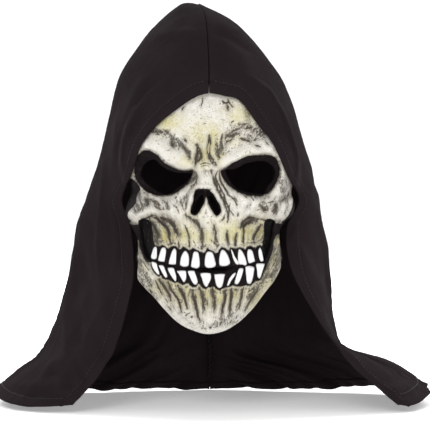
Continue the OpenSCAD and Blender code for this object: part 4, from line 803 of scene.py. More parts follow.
def put(nt, sock, v):
    if isinstance(v, bpy.types.NodeSocket):
        nt.links.new(v, sock)
    else:
        sock.default_value = v


def attr(nt, name, kind="Color"):
    n = nt.nodes.new("ShaderNodeAttribute")
    n.attribute_name = name
    return n.outputs[kind]


def split(nt, col):
    n = nt.nodes.new("ShaderNodeSeparateColor")
    put(nt, n.inputs[0], col)
    return n.outputs


def math_(nt, op, a, b=0.0, clamp=False):
    n = nt.nodes.new("ShaderNodeMath")
    n.operation, n.use_clamp = op, clamp
    put(nt, n.inputs[0], a)
    put(nt, n.inputs[1], b)
    return n.outputs[0]


def mix(nt, f, a, b):
    n = nt.nodes.new("ShaderNodeMix")
    n.data_type = "RGBA"
    n.clamp_factor = True
    put(nt, n.inputs[0], f)
    put(nt, n.inputs[6], a if isinstance(a, bpy.types.NodeSocket) else (*a, 1))
    put(nt, n.inputs[7], b if isinstance(b, bpy.types.NodeSocket) else (*b, 1))
    return n.outputs[2]


def noise(nt, vec, scale, detail=3.0, rough=0.55, distort=0.0):
    n = nt.nodes.new("ShaderNodeTexNoise")
    put(nt, n.inputs["Vector"], vec)
    n.inputs["Scale"].default_value = scale
    n.inputs["Detail"].default_value = detail
    n.inputs["Roughness"].default_value = rough
    n.inputs["Distortion"].default_value = distort
    return n.outputs["Fac"]


def ramp(nt, v, lo, hi, a=0.0, b=1.0):
    n = nt.nodes.new("ShaderNodeMapRange")
    n.interpolation_type = "SMOOTHSTEP"
    put(nt, n.inputs[0], v)
    for k, x in zip((1, 2, 3, 4), (lo, hi, a, b)):
        n.inputs[k].default_value = x
    return n.outputs[0]


def bump_node(nt, h, dist, strength=1.0, normal=None):
    n = nt.nodes.new("ShaderNodeBump")
    n.inputs["Strength"].default_value = strength
    n.inputs["Distance"].default_value = dist
    put(nt, n.inputs["Height"], h)
    if normal is not None:
        put(nt, n.inputs["Normal"], normal)
    return n.outputs[0]


def scaled(nt, vec, s):
    n = nt.nodes.new("ShaderNodeMapping")
    put(nt, n.inputs[0], vec)
    n.inputs["Scale"].default_value = s
    return n.outputs[0]


def bone_material(name="bone_latex_paint", level=0.30, extra=0.0):
    """Cream latex with a yellow and olive tint, a mottled dark wash rubbed into the hollows, and black painted rims."""
    m, nt, b = material(name)
    a, p = split(nt, attr(nt, "paint_a")), split(nt, attr(nt, "paint_b"))
    rest = attr(nt, "rest", "Vector")
    fa, fb = attr(nt, "flow_a", "Vector"), attr(nt, "flow_b", "Vector")
    fine, mid, big = noise(nt, rest, 0.62, 5, 0.62), noise(nt, rest, 0.17, 4, 0.55), noise(nt, rest, 0.05, 3, 0.5)
    speck = noise(nt, rest, 1.25, 4, 0.6, 0.4)
    s1 = noise(nt, scaled(nt, fa, (0.13, 0.80, 0)), 1.0, 5, 0.62, 0.6)
    s2 = noise(nt, scaled(nt, fb, (0.16, 0.85, 0)), 1.0, 5, 0.62, 0.6)
    sep = nt.nodes.new("ShaderNodeSeparateXYZ")
    put(nt, sep.inputs[0], fa)
    sep2 = nt.nodes.new("ShaderNodeSeparateXYZ")
    put(nt, sep2.inputs[0], fb)
    up, shade = sep.outputs[2], sep2.outputs[2]
    streak = math_(nt, "ADD", s1, math_(nt, "MULTIPLY", math_(nt, "SUBTRACT", s2, s1), up))
    cream = mix(nt, ramp(nt, mid, 0.35, 0.7), (0.80, 0.775, 0.72), (0.725, 0.69, 0.61))
    yel = math_(nt, "MULTIPLY", a[2], ramp(nt, mid, 0.2, 0.62, 0.6, 1.15), True)
    col = mix(nt, math_(nt, "MULTIPLY", yel, 0.92), cream, (0.625, 0.56, 0.205))
    oli = math_(nt, "MULTIPLY", p[0], ramp(nt, fine, 0.3, 0.6, 0.45, 1.0), True)
    col = mix(nt, oli, col, (0.235, 0.225, 0.125))
    # a thin grey-brown film everywhere the wash was rubbed in
    film = math_(nt, "MULTIPLY", ramp(nt, p[1], 0.15, 0.95, 0.0, 0.50), ramp(nt, mid, 0.25, 0.6, 0.55, 1.0))
    col = mix(nt, film, col, (0.335, 0.305, 0.25))
    # soft brown beside the lines and in the hollows, in streaks
    sh = math_(nt, "MULTIPLY", shade, ramp(nt, streak, 0.40, 0.57, 0.34, 1.0), True)
    col = mix(nt, sh, col, (0.165, 0.136, 0.088))
    # mottling: small islands and streaks that gather where the mask says
    thr = math_(nt, "ADD", math_(nt, "MULTIPLY", fine, 0.42), math_(nt, "MULTIPLY", streak, 0.34))
    thr = math_(nt, "ADD", thr, math_(nt, "MULTIPLY", mid, 0.12))
    thr = math_(nt, "ADD", thr, math_(nt, "MULTIPLY", speck, 0.16))
    thr = math_(nt, "ADD", thr, math_(nt, "MULTIPLY", p[1], 0.22))
    islands = math_(nt, "MULTIPLY", ramp(nt, thr, 0.645, 0.690), ramp(nt, p[1], 0.10, 0.5), True)
    col = mix(nt, math_(nt, "MULTIPLY", islands, 0.74), col, (0.118, 0.104, 0.088))
    core = math_(nt, "MULTIPLY", ramp(nt, thr, 0.705, 0.745), ramp(nt, p[1], 0.2, 0.6), True)
    col = mix(nt, math_(nt, "MULTIPLY", core, 0.85), col, (0.036, 0.031, 0.027))
    grain = math_(nt, "MULTIPLY", ramp(nt, speck, 0.47, 0.60, 0.0, 0.26), ramp(nt, p[1], 0.05, 0.6, 0.15, 1.0))
    col = mix(nt, grain, col, (0.27, 0.24, 0.19))
    freck = ramp(nt, math_(nt, "ADD", speck, math_(nt, "MULTIPLY", p[1], 0.075)), 0.622, 0.660)
    col = mix(nt, math_(nt, "MULTIPLY", freck, 0.85), col, (0.070, 0.060, 0.048))
    ragged = math_(nt, "ADD", math_(nt, "MULTIPLY", math_(nt, "SUBTRACT", streak, 0.5), 1.5), math_(nt, "MULTIPLY", math_(nt, "SUBTRACT", fine, 0.5), 1.0))
    drk = math_(nt, "MULTIPLY", ramp(nt, math_(nt, "ADD", a[0], ragged), 0.20, 0.60), ramp(nt, a[0], 0.05, 0.25), True)
    col = mix(nt, math_(nt, "MULTIPLY", drk, 0.93), col, mix(nt, ramp(nt, a[0], 0.40, 0.85), (0.092, 0.072, 0.046), (0.038, 0.031, 0.025)))
    blk = math_(nt, "ADD", a[1], math_(nt, "MULTIPLY", math_(nt, "SUBTRACT", fine, 0.5), 0.8))
    blk = math_(nt, "ADD", blk, math_(nt, "MULTIPLY", math_(nt, "SUBTRACT", streak, 0.5), 0.7))
    blk = math_(nt, "MULTIPLY", ramp(nt, blk, 0.30, 0.68), ramp(nt, a[1], 0.05, 0.25))
    col = mix(nt, blk, col, mix(nt, ramp(nt, streak, 0.52, 0.75), (0.0100, 0.0070, 0.0078), (0.031, 0.023, 0.022)))
    col = mix(nt, ramp(nt, p[2], 0.55, 0.8), col, mix(nt, mid, (0.60, 0.53, 0.36), (0.48, 0.42, 0.28)))
    put(nt, b.inputs["Base Color"], col)
    rough = ramp(nt, mid, 0.25, 0.75, 0.44 + extra, 0.60 + extra)
    put(nt, b.inputs["Roughness"], math_(nt, "ADD", rough, math_(nt, "MULTIPLY", blk, 0.14)))
    b.inputs["Specular IOR Level"].default_value = level
    h = math_(nt, "ADD", math_(nt, "MULTIPLY", fine, 0.6), math_(nt, "MULTIPLY", speck, 0.2))
    h = math_(nt, "ADD", h, math_(nt, "MULTIPLY", streak, 0.6))
    put(nt, b.inputs["Normal"], bump_node(nt, h, 0.0007, 0.6))
    return m


def tooth_material():
    m, nt, b = material("tooth_white_paint")
    rim, rest = attr(nt, "rim", "Fac"), attr(nt, "rest", "Vector")
    n1, n2 = noise(nt, rest, 0.5, 4, 0.6), noise(nt, scaled(nt, rest, (1.4, 1.4, 0.25)), 0.9, 3, 0.5)
    col = mix(nt, ramp(nt, n2, 0.35, 0.7), (0.90, 0.905, 0.895), (0.84, 0.845, 0.825))
    edge = math_(nt, "ADD", rim, math_(nt, "MULTIPLY", math_(nt, "SUBTRACT", n1, 0.5), 0.5))
    col = mix(nt, ramp(nt, edge, 0.74, 1.02, 0.0, 0.45), col, (0.34, 0.33, 0.31))
    col = mix(nt, ramp(nt, edge, 0.97, 1.12), col, (0.02, 0.018, 0.018))
    put(nt, b.inputs["Base Color"], col)
    put(nt, b.inputs["Roughness"], ramp(nt, n1, 0.3, 0.7, 0.22, 0.36))
    b.inputs["Coat Weight"].default_value = 0.25
    b.inputs["Coat Roughness"].default_value = 0.2
    put(nt, b.inputs["Normal"], bump_node(nt, n2, 0.0004, 0.4))
    return m


def black_latex_material():
    m, nt, b = material("black_latex_skin")
    rest = attr(nt, "rest", "Vector")
    n1, n2 = noise(nt, scaled(nt, rest, (1, 1, 0.18)), 0.35, 4, 0.55), noise(nt, rest, 0.9, 4, 0.6)
    f = math_(nt, "MULTIPLY", ramp(nt, n1, 0.58, 0.72), ramp(nt, n2, 0.4, 0.62))
    put(nt, b.inputs["Base Color"], mix(nt, math_(nt, "MULTIPLY", f, 0.8), (0.0080, 0.0068, 0.0068), (0.13, 0.12, 0.11)))
    put(nt, b.inputs["Roughness"], ramp(nt, n2, 0.3, 0.7, 0.66, 0.80))
    b.inputs["Specular IOR Level"].default_value = 0.10
    put(nt, b.inputs["Normal"], bump_node(nt, n2, 0.0006, 0.5))
    return m


def cloth_material(name, lo, hi, pitch=0.55, sheen=0.35, rough=0.88, level=0.12):
    """A plain weave in the cloth's own directions, with slubs and a little lint. The attribute cut holds where each spot lies on the flat cloth, in mm."""
    m, nt, b = material(name)
    cut = attr(nt, "cut", "Vector")
    big, slub = noise(nt, cut, 0.02, 3, 0.5), noise(nt, scaled(nt, cut, (0.08, 1.4, 1)), 0.8, 3, 0.6)
    slub2 = noise(nt, scaled(nt, cut, (1.4, 0.08, 1)), 0.8, 3, 0.6)
    lint = noise(nt, cut, 0.9, 2, 0.5, 1.5)
    w1, w2 = nt.nodes.new("ShaderNodeTexWave"), nt.nodes.new("ShaderNodeTexWave")
    for w, axis in ((w1, "X"), (w2, "Y")):
        w.bands_direction = axis
        w.inputs["Scale"].default_value = 0.314 / pitch
        w.inputs["Distortion"].default_value = 0.6
        w.inputs["Detail"].default_value = 1.0
        put(nt, w.inputs["Vector"], cut)
    weave = math_(nt, "MAXIMUM", w1.outputs["Fac"], w2.outputs["Fac"])
    f = math_(nt, "ADD", math_(nt, "MULTIPLY", big, 0.6), math_(nt, "MULTIPLY", math_(nt, "ADD", slub, slub2), 0.25))
    col = mix(nt, ramp(nt, f, 0.35, 0.75), lo, hi)
    col = mix(nt, ramp(nt, weave, 0.2, 0.9, 0.35, 0.0), col, tuple(0.35 * c for c in lo))
    col = mix(nt, ramp(nt, lint, 0.735, 0.76, 0.0, 0.35), col, tuple(min(1, 5 * c) for c in hi))
    put(nt, b.inputs["Base Color"], col)
    put(nt, b.inputs["Roughness"], ramp(nt, slub, 0.3, 0.7, rough - 0.06, min(1.0, rough + 0.08)))
    b.inputs["Sheen Weight"].default_value = sheen
    b.inputs["Sheen Roughness"].default_value = 0.45
    b.inputs["Sheen Tint"].default_value = (0.82, 0.68, 0.74, 1)
    b.inputs["Specular IOR Level"].default_value = level
    h = math_(nt, "ADD", weave, math_(nt, "MULTIPLY", math_(nt, "ADD", slub, slub2), 0.5))
    put(nt, b.inputs["Normal"], bump_node(nt, h, 0.00018, 0.6))
    return m


def plain_material(name, lo, hi, scale, rough, bump=0.0003):
    m, nt, b = material(name)
    rest = attr(nt, "rest", "Vector")
    n1 = noise(nt, rest, scale, 4, 0.6)
    put(nt, b.inputs["Base Color"], mix(nt, ramp(nt, n1, 0.3, 0.7), lo, hi))
    put(nt, b.inputs["Roughness"], ramp(nt, n1, 0.3, 0.7, rough - 0.06, rough + 0.06))
    put(nt, b.inputs["Normal"], bump_node(nt, n1, bump, 0.6))
    return m


def elastic_material():
    m, nt, b = material("ribbed_elastic")
    cut = attr(nt, "cut", "Vector")
    w = nt.nodes.new("ShaderNodeTexWave")
    w.bands_direction = "X"
    w.inputs["Scale"].default_value = 0.20
    w.inputs["Distortion"].default_value = 0.8
    put(nt, w.inputs["Vector"], cut)
    n1 = noise(nt, cut, 1.1, 3, 0.6)
    f = math_(nt, "MULTIPLY", w.outputs["Fac"], ramp(nt, n1, 0.2, 0.7, 0.6, 1.0))
    put(nt, b.inputs["Base Color"], mix(nt, f, (0.006, 0.006, 0.007), (0.035, 0.034, 0.036)))
    put(nt, b.inputs["Roughness"], ramp(nt, n1, 0.3, 0.7, 0.62, 0.8))
    put(nt, b.inputs["Normal"], bump_node(nt, f, 0.0005, 0.8))
    return m


BONE, TOOTH, BLACK = bone_material(), tooth_material(), black_latex_material()
# This slot also takes the painted shadow of the hood's edge on the outer cheeks, besides the real black paint.
DULL = bone_material("black_paint_and_painted_shadow", 0.07, 0.12)
CLOTH = cloth_material("hood_weave", (0.0192, 0.0138, 0.0154), (0.0246, 0.0178, 0.0198), sheen=0.0, level=0.02)
THREAD = plain_material("sewing_thread", (0.006, 0.005, 0.006), (0.03, 0.025, 0.028), 2.2, 0.6)
GLUE = plain_material("dried_glue", (0.30, 0.22, 0.10), (0.46, 0.36, 0.20), 0.3, 0.32, 0.0008)
ELASTIC = elastic_material()
PATCH = cloth_material("patch_canvas", (0.30, 0.22, 0.13), (0.42, 0.33, 0.21), 0.8, 0.1, 0.85)
LABEL = cloth_material("label_satin", (0.016, 0.015, 0.016), (0.026, 0.025, 0.026), 0.35, 0.05, 0.5)

for ob, dull in ((face_skin, face_dull), (jaw_skin, jaw_dull)):
    ob.data.materials.append(BONE)
    ob.data.materials.append(DULL)
    ob.data.polygons.foreach_set("material_index", dull)
    ob.data.update()
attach(face_skin, "mask")
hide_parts("face_shell")
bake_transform(jaw_skin)
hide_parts("jaw_shell")


# ------------------------------------------------------------------ closed sheets from a grid
def sheet_mesh(name, mids, thick, mirror=False, cut=None, rest_scale=1.0):
    """One closed cloth from a grid of its middle surface, thick mm through, with all four edges walled."""
    n = grid_out(mids)
    nr, nc = mids.shape[:2]
    top, bot = mids + n * thick / 2, mids - n * thick / 2
    verts = np.concatenate([top.reshape(-1, 3), bot.reshape(-1, 3)])
    r, c = np.meshgrid(np.arange(nr - 1), np.arange(nc - 1), indexing="ij")
    a, b, d, e = (r * nc + c).ravel(), (r * nc + c + 1).ravel(), ((r + 1) * nc + c + 1).ravel(), ((r + 1) * nc + c).ravel()
    k = nr * nc
    q = [np.stack([a, b, d, e], 1), np.stack([a, e, d, b], 1) + k]
    for i in range(2):
        r0 = (0 if i == 0 else nr - 1) * nc + np.arange(nc)
        w = np.stack([r0[:-1], r0[:-1] + k, r0[1:] + k, r0[1:]], 1)
        q.append(w if i == 0 else w[:, ::-1])
        c0 = np.arange(nr) * nc + (0 if i == 0 else nc - 1)
        w = np.stack([c0[:-1], c0[1:], c0[1:] + k, c0[:-1] + k], 1)
        q.append(w if i == 0 else w[:, ::-1])
    q = np.concatenate(q)
    if mirror:
        verts = verts * np.array([-1, 1, 1])
        q = q[:, ::-1]
    ob = add_quads(name, verts, q)
    put_attr(ob, "rest", verts)
    if cut is not None:
        cc = np.concatenate([cut.reshape(-1, 2), cut.reshape(-1, 2)])
        put_attr(ob, "cut", np.concatenate([cc, np.zeros((len(cc), 1))], 1))
    return ob


def grid_out(p):
    du, dv = np.gradient(p, axis=1), np.gradient(p, axis=0)
    n = np.cross(du, dv)
    return n / np.maximum(np.linalg.norm(n, axis=2, keepdims=True), 1e-9)


def calm_y(x, z):
    """The face's depth without its small detail, for what lies behind it."""
    return (face_y(x, z) + face_y(x + 2.5, z) + face_y(x - 2.5, z) + face_y(x, z + 2.5) + face_y(x, z - 2.5)) / 5


def calm_pt(x, z, d):
    e = 1.5
    nx, nz = calm_y(x + e, z) - calm_y(x - e, z), calm_y(x, z + e) - calm_y(x, z - e)
    n = np.stack([nx / (2 * e), -np.ones_like(nx), nz / (2 * e)], -1)
    n /= np.linalg.norm(n, axis=-1, keepdims=True)
    return np.stack([x, calm_y(x, z), z], -1) + d * n, n


# ------------------------------------------------------------------ black skins behind the side gaps
webs = []
for name, x0, x1 in (("side_skin_left", -63.5, -46.5), ("side_skin_right", 43.0, 60.0)):
    a, t = np.meshgrid(np.linspace(0, 1, 30), np.linspace(0, 1, 46))
    xx, zz = x0 + (x1 - x0) * a, -79 + 42.5 * t
    e = np.abs(2 * a - 1)
    fold = 0.55 * np.sin(9 * a + 2.2 * fbm(xx, zz, 14, 2, 41)) + 0.5 * fbm(xx, zz, 7, 2, 43)
    p, n = calm_pt(xx, zz, 0.0)
    p = p + n * (-LATEX - 1.1 - 3.2 * (1 - e * e) + fold * (1 - e**4))[..., None]
    webs.append(sheet_mesh(name, p, 1.1))
web_l, web_r = webs
for w in webs:
    w.data.materials.append(BLACK)
    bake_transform(w)
    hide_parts("cheek_webs")


# ------------------------------------------------------------------ teeth
def to_space(xp, zp, y):
    k = (y - CAM[1]) / (FACE_PLANE - CAM[1])
    return np.stack([CAM[0] + (xp - CAM[0]) * k, y, CAM[2] + (zp - CAM[2]) * k], -1)


def teeth(name, rows, body, node, up):
    V, Fs, rims = [], [], []
    for k, (sh, pts) in enumerate(rows):
        o = crom(on(sh, pts), True, 5)
        if np.sum(o[:, 0] * np.roll(o[:, 1], -1) - np.roll(o[:, 0], -1) * o[:, 1]) < 0:
            o = o[::-1]
        c = o.mean(0)
        q = surf(o[:, 0], o[:, 1])[:, 1]
        A = np.stack([np.ones(len(o)), o[:, 0] - c[0], o[:, 1] - c[1]], 1)
        co = np.linalg.lstsq(A, q, rcond=None)[0]
        wide = np.ptp(o[:, 0])
        H = min(2.4, 0.9 + 0.19 * wide)
        base = sum(len(v) for v in V)
        m = len(o)
        prof = [(1.03, 1.8), (1.04, 0.2), (1.01, -0.40), (0.95, -0.66), (0.84, -0.84), (0.68, -0.95), (0.48, -1.0), (0.25, -1.0)]
        for f, h in prof:
            ring = c + (o - c) * f
            lift = h if h > 0 else h * H
            y = co[0] + co[1] * (ring[:, 0] - c[0]) + co[2] * (ring[:, 1] - c[1]) + lift
            if h < 0:
                # two shallow upright hollows, and a thicker biting edge
                u = (ring[:, 0] - c[0]) / (wide / 2)
                y += 0.16 * np.cos(u * 9 + k) * f * (wide > 6)
                y -= 0.25 * np.clip((c[1] - ring[:, 1]) * (1 if up else -1) / 6, -1, 1)
            V.append(to_space(ring[:, 0], ring[:, 1], y))
            rims.append(np.full(m, min(1.0, f)))
        V.append(to_space(c[:1], c[1:], np.array([co[0] - H])))
        rims.append(np.zeros(1))
        for j in range(len(prof) - 1):
            for i in range(m):
                i2 = (i + 1) % m
                a, b2 = base + j * m + i, base + j * m + i2
                Fs.append((a, b2, b2 + m, a + m))
        top, mid = base + (len(prof) - 1) * m, base + len(prof) * m
        for i in range(m):
            Fs.append((top + i, top + (i + 1) % m, mid))
        Fs.append(tuple(base + i for i in reversed(range(m))))
    verts = np.concatenate(V)
    ob = add_mesh(name, verts, Fs)
    put_attr(ob, "rest", verts)
    put_attr(ob, "rim", np.concatenate(rims))
    ob.data.materials.append(TOOTH)
    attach(ob, body)
    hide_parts(node)
    return ob


upper = teeth("teeth_of_upper_jaw", TEETH_UP, "mask", "upper_teeth", True)
lower = teeth("teeth_of_lower_jaw", TEETH_LO, "jaw", "lower_teeth", False)


# ------------------------------------------------------------------ hood
HL = np.array([[[-1, -99, 74], [-1, -94, 96], [-2, -76, 120], [-4, -49, 143], [-8, -20, 157], [-10, 8, 163]],
               [[-12, -98.5, 70.5], [-18, -91, 95], [-25, -72, 116], [-29, -42, 141], [-28, -2, 160], [-9, 33, 160]],
               [[-25, -96.5, 62.5], [-37, -83, 86], [-49, -60, 108], [-57, -25, 127], [-48, 25, 141], [-8, 62, 148]],
               [[-45, -87, 47], [-62, -66, 67], [-76, -35, 87], [-82, 0, 97], [-63, 62, 105], [-4, 100, 108]],
               [[-59.5, -73, 30], [-80, -44, 38], [-90, -15, 45], [-93, 20, 50], [-72, 80, 55], [-1, 112, 58]],
               [[-70, -54, 3], [-86, -30, 3], [-99, 0, 5], [-105, 30, 8], [-78, 88, 10], [-1, 117, 5]],
               [[-80, -37, -20], [-92, -26, -20], [-107, -4, -20], [-114, 30, -18], [-83, 90, -18], [-1, 116, -22]],
               [[-72, -38, -46], [-89, -30, -45], [-112, -6, -45], [-123, 30, -42], [-88, 92, -45], [-1, 114, -50]],
               [[-69, -56, -90], [-90, -46, -93], [-118, -10, -98], [-133, 30, -100], [-98, 95, -105], [-1, 112, -105]],
               [[-84, -66, -149], [-106, -60, -149], [-133, -30, -148], [-149, 20, -148], [-118, 90, -152], [-1, 118, -158]],
               [[-93, -73, -166], [-119, -67, -167], [-146, -38, -166], [-159, 16, -167], [-134, 88, -169], [-1, 122, -173]],
               [[-103, -80, -181], [-131, -74, -182], [-159, -45, -180], [-175, 12, -179], [-148, 85, -183], [-1, 127, -190]],
               [[-121, -84, -200], [-152, -80, -202], [-182, -50, -201], [-198, 10, -197], [-168, 85, -201], [-1, 132, -206]]], float)
HR = np.array([[[0, -99, 74], [0, -94, 96], [-1, -76, 120], [-3, -49, 143], [-7, -20, 157], [-9, 8, 163]],
               [[13, -98, 71.5], [17, -90, 95], [21, -71, 115], [22, -42, 136], [17, 0, 148], [-8, 33, 158]],
               [[27, -95, 67], [35, -83, 89], [41, -58, 105], [45, -25, 118], [32, 25, 132], [-7, 62, 146]],
               [[42.5, -87, 47], [56, -67, 64], [64, -35, 82], [67.5, 0, 89], [52, 62, 99], [-3, 100, 108]],
               [[56, -75, 30], [72, -48, 36], [81, -12, 42], [83, 22, 45], [63, 80, 52], [0, 112, 58]],
               [[69.5, -56, 2], [82, -32, 3], [92, 0, 5], [94, 30, 6], [72, 88, 8], [0, 117, 5]],
               [[81.5, -37, -20], [90, -26, -20], [96, -2, -20], [101, 30, -19], [76, 90, -19], [0, 116, -22]],
               [[70.5, -38, -46], [83, -30, -45], [97, -4, -45], [105, 30, -44], [80, 92, -45], [0, 114, -50]],
               [[74, -52, -82], [88, -45, -86], [103, -10, -91], [112, 28, -95], [88, 95, -100], [0, 112, -105]],
               [[97, -62, -126], [105, -53, -131], [113, -20, -136], [116, 20, -138], [97, 92, -148], [0, 118, -158]],
               [[112, -69, -148], [118, -61, -152], [121, -32, -154], [122, 18, -156], [106, 91, -165], [0, 122, -173]],
               [[131, -77, -171], [145, -71, -172], [157, -42, -172], [165, 15, -172], [142, 85, -181], [0, 127, -190]],
               [[167, -81, -200], [179, -75, -201], [192, -48, -199], [203, 10, -195], [170, 85, -200], [0, 132, -206]]], float)
HEM = 12.0

# Three more drawing sheets, for the folds of the cloth as the front shows them
SHEETS.update({"T": (-96.36, 155.76, 0.146667), "L": (-184.36, 50.16, 0.176), "R": (44.44, 50.16, 0.176)})
# Folds: sheet, points, half width in mm, height in mm (minus is a valley)
FOLDS = [
    ("T", [(300, 250), (360, 222), (430, 205), (520, 200), (630, 206)], 4.5, 2.0), ("T", [(420, 100), (390, 150), (340, 200)], 5, -1.6), ("T", [(480, 60), (500, 130), (470, 180)], 8, -1.2),
    ("T", [(650, 196), (720, 205), (800, 245), (860, 290), (930, 335)], 3.4, -2.2), ("T", [(690, 232), (770, 262), (850, 318), (930, 380)], 5.5, 1.5), ("T", [(700, 130), (790, 175), (880, 240)], 5, 1.5),
    ("T", [(430, 560), (330, 640), (240, 720), (180, 790)], 5, -2.6), ("T", [(420, 480), (340, 515), (280, 590), (230, 680), (190, 760)], 4.4, -3.4), ("T", [(330, 430), (262, 500), (210, 590), (160, 700), (128, 800)], 5.0, 2.6),
    ("T", [(225, 385), (195, 480), (140, 580), (110, 680), (92, 780)], 4.6, -2.4), ("T", [(108, 640), (104, 740), (103, 850), (98, 950)], 3.0, 2.2), ("T", [(60, 800), (52, 880), (45, 950)], 3.4, -1.2),
    ("T", [(300, 500), (245, 600), (215, 660)], 3.0, -1.8), ("T", [(1040, 520), (1085, 640), (1125, 760), (1180, 920)], 5.4, -2.6), ("T", [(985, 480), (1040, 600), (1080, 720), (1120, 820)], 6.0, 1.8), ("T", [(1130, 640), (1170, 760), (1215, 880)], 3.5, 1.6),
    ("T", [(820, 450), (900, 520), (975, 600), (1040, 690)], 7.0, 1.4), ("T", [(500, 420), (580, 440), (650, 430), (740, 440)], 8.0, 0.8),
    ("L", [(546, 270), (556, 340), (580, 420), (606, 490), (634, 560)], 4.2, -4.6), ("L", [(528, 130), (526, 240), (512, 330), (506, 450), (496, 560), (490, 680), (508, 800), (520, 880)], 2.6, 2.8), ("L", [(540, 370), (556, 470), (574, 560), (586, 640), (576, 740), (548, 830)], 2.6, 2.6),
    ("L", [(524, 360), (530, 470), (540, 580), (542, 680)], 2.6, -1.8), ("L", [(480, 320), (468, 450), (456, 580), (452, 680)], 4.4, -1.6), ("L", [(600, 590), (620, 660), (610, 720)], 5.0, 1.4), ("L", [(655, 560), (660, 660), (655, 760)], 4.0, 1.4),
    ("L", [(398, 650), (424, 730), (452, 810), (474, 890)], 4.2, -2.8), ("L", [(372, 600), (362, 700), (352, 800), (338, 900)], 4.0, 1.4), ("L", [(330, 880), (330, 980), (334, 1080), (330, 1180), (300, 1230)], 3.0, 2.4), ("L", [(400, 940), (392, 1020), (396, 1090), (404, 1150)], 4.6, -3.8),
    ("L", [(560, 900), (512, 950), (478, 1010), (446, 1080), (430, 1160)], 3.4, 2.4), ("L", [(512, 950), (536, 1000), (560, 1050)], 3.0, 2.0), ("L", [(488, 1040), (500, 1090), (512, 1140), (500, 1190)], 3.4, -3.0), ("L", [(545, 880), (560, 940), (600, 985), (630, 960)], 3.4, -2.2),
    ("L", [(560, 780), (600, 830), (650, 815)], 4.0, -2.4), ("L", [(650, 690), (600, 730), (570, 780)], 3.6, 1.6), ("L", [(640, 870), (600, 900), (560, 905)], 3.6, 1.8), ("L", [(620, 1010), (580, 1060), (540, 1110)], 3.6, -1.4),
    ("L", [(440, 880), (420, 930), (440, 1000)], 4.4, 1.6), ("L", [(300, 1210), (246, 1232), (214, 1290), (230, 1340)], 3.2, 2.6), ("L", [(240, 1270), (290, 1280)], 3.6, -2.6), ("L", [(320, 1280), (356, 1305), (330, 1340)], 3.4, -2.4), ("L", [(384, 1140), (424, 1220), (440, 1290)], 3.6, 2.0),
    ("L", [(372, 1190), (410, 1260), (420, 1310)], 3.2, -2.0), ("L", [(20, 1342), (110, 1330), (190, 1330), (280, 1345)], 4.2, 2.4), ("L", [(110, 1385), (200, 1370), (300, 1392)], 4.0, -2.2), ("L", [(150, 1290), (200, 1260), (250, 1200)], 4.4, -1.8), ("L", [(290, 1330), (340, 1370), (400, 1350)], 4.0, 1.6),
    ("L", [(200, 1230), (260, 1120), (300, 1000)], 4.4, -1.4), ("L", [(470, 1180), (450, 1240), (470, 1290)], 4.0, 1.4),
    ("R", [(178, 130), (202, 210), (214, 300), (210, 400), (196, 460)], 3.2, -3.2), ("R", [(232, 260), (262, 380), (286, 490), (304, 600)], 3.6, 1.8), ("R", [(250, 240), (276, 350), (300, 480)], 2.6, -1.0), ("R", [(150, 500), (152, 545), (128, 600)], 3.0, -3.2), ("R", [(170, 520), (180, 590), (220, 660)], 4.0, 1.4),
    ("R", [(200, 580), (240, 650), (300, 722)], 3.6, -1.8), ("R", [(160, 600), (212, 690), (264, 790), (316, 880), (362, 980)], 4.0, 2.2), ("R", [(300, 540), (320, 680), (334, 820), (364, 960), (384, 1060)], 3.6, -2.4), ("R", [(330, 640), (348, 780), (368, 900)], 2.6, 1.6), ("R", [(232, 470), (250, 560), (262, 640)], 4.4, 1.0),
    ("R", [(386, 1100), (436, 1156), (500, 1232), (580, 1306), (640, 1340)], 4.2, 2.6), ("R", [(470, 1180), (550, 1262), (640, 1312), (710, 1284), (750, 1240)], 5.0, -3.0), ("R", [(480, 1190), (560, 1204), (640, 1226), (740, 1262)], 4.0, 1.4), ("R", [(640, 1350), (720, 1340), (790, 1330)], 5.0, 1.6), ("R", [(690, 1380), (760, 1390)], 4.0, -1.6),
    ("R", [(400, 1150), (440, 1220), (500, 1290)], 3.0, -1.2),
]


def spline(ctrl, t):
    """Catmull-Rom through ctrl along its first axis, as the CAD draws it: t from 0 to 1, ends carried on straight."""
    n = len(ctrl) - 1
    ext = np.concatenate([2 * ctrl[:1] - ctrl[1:2], ctrl, 2 * ctrl[-1:] - ctrl[-2:-1]])
    x = np.clip(np.asarray(t, float), 0, 1) * n
    i = np.minimum(np.floor(x).astype(int), n - 1)
    f = (x - i).reshape((-1,) + (1,) * (ctrl.ndim - 1))
    a, b, c, d = ext[i], ext[i + 1], ext[i + 2], ext[i + 3]
    return b + 0.5 * f * ((c - a) + f * ((2 * a - 5 * b + 4 * c - d) + f * (3 * (b - c) + d - a)))


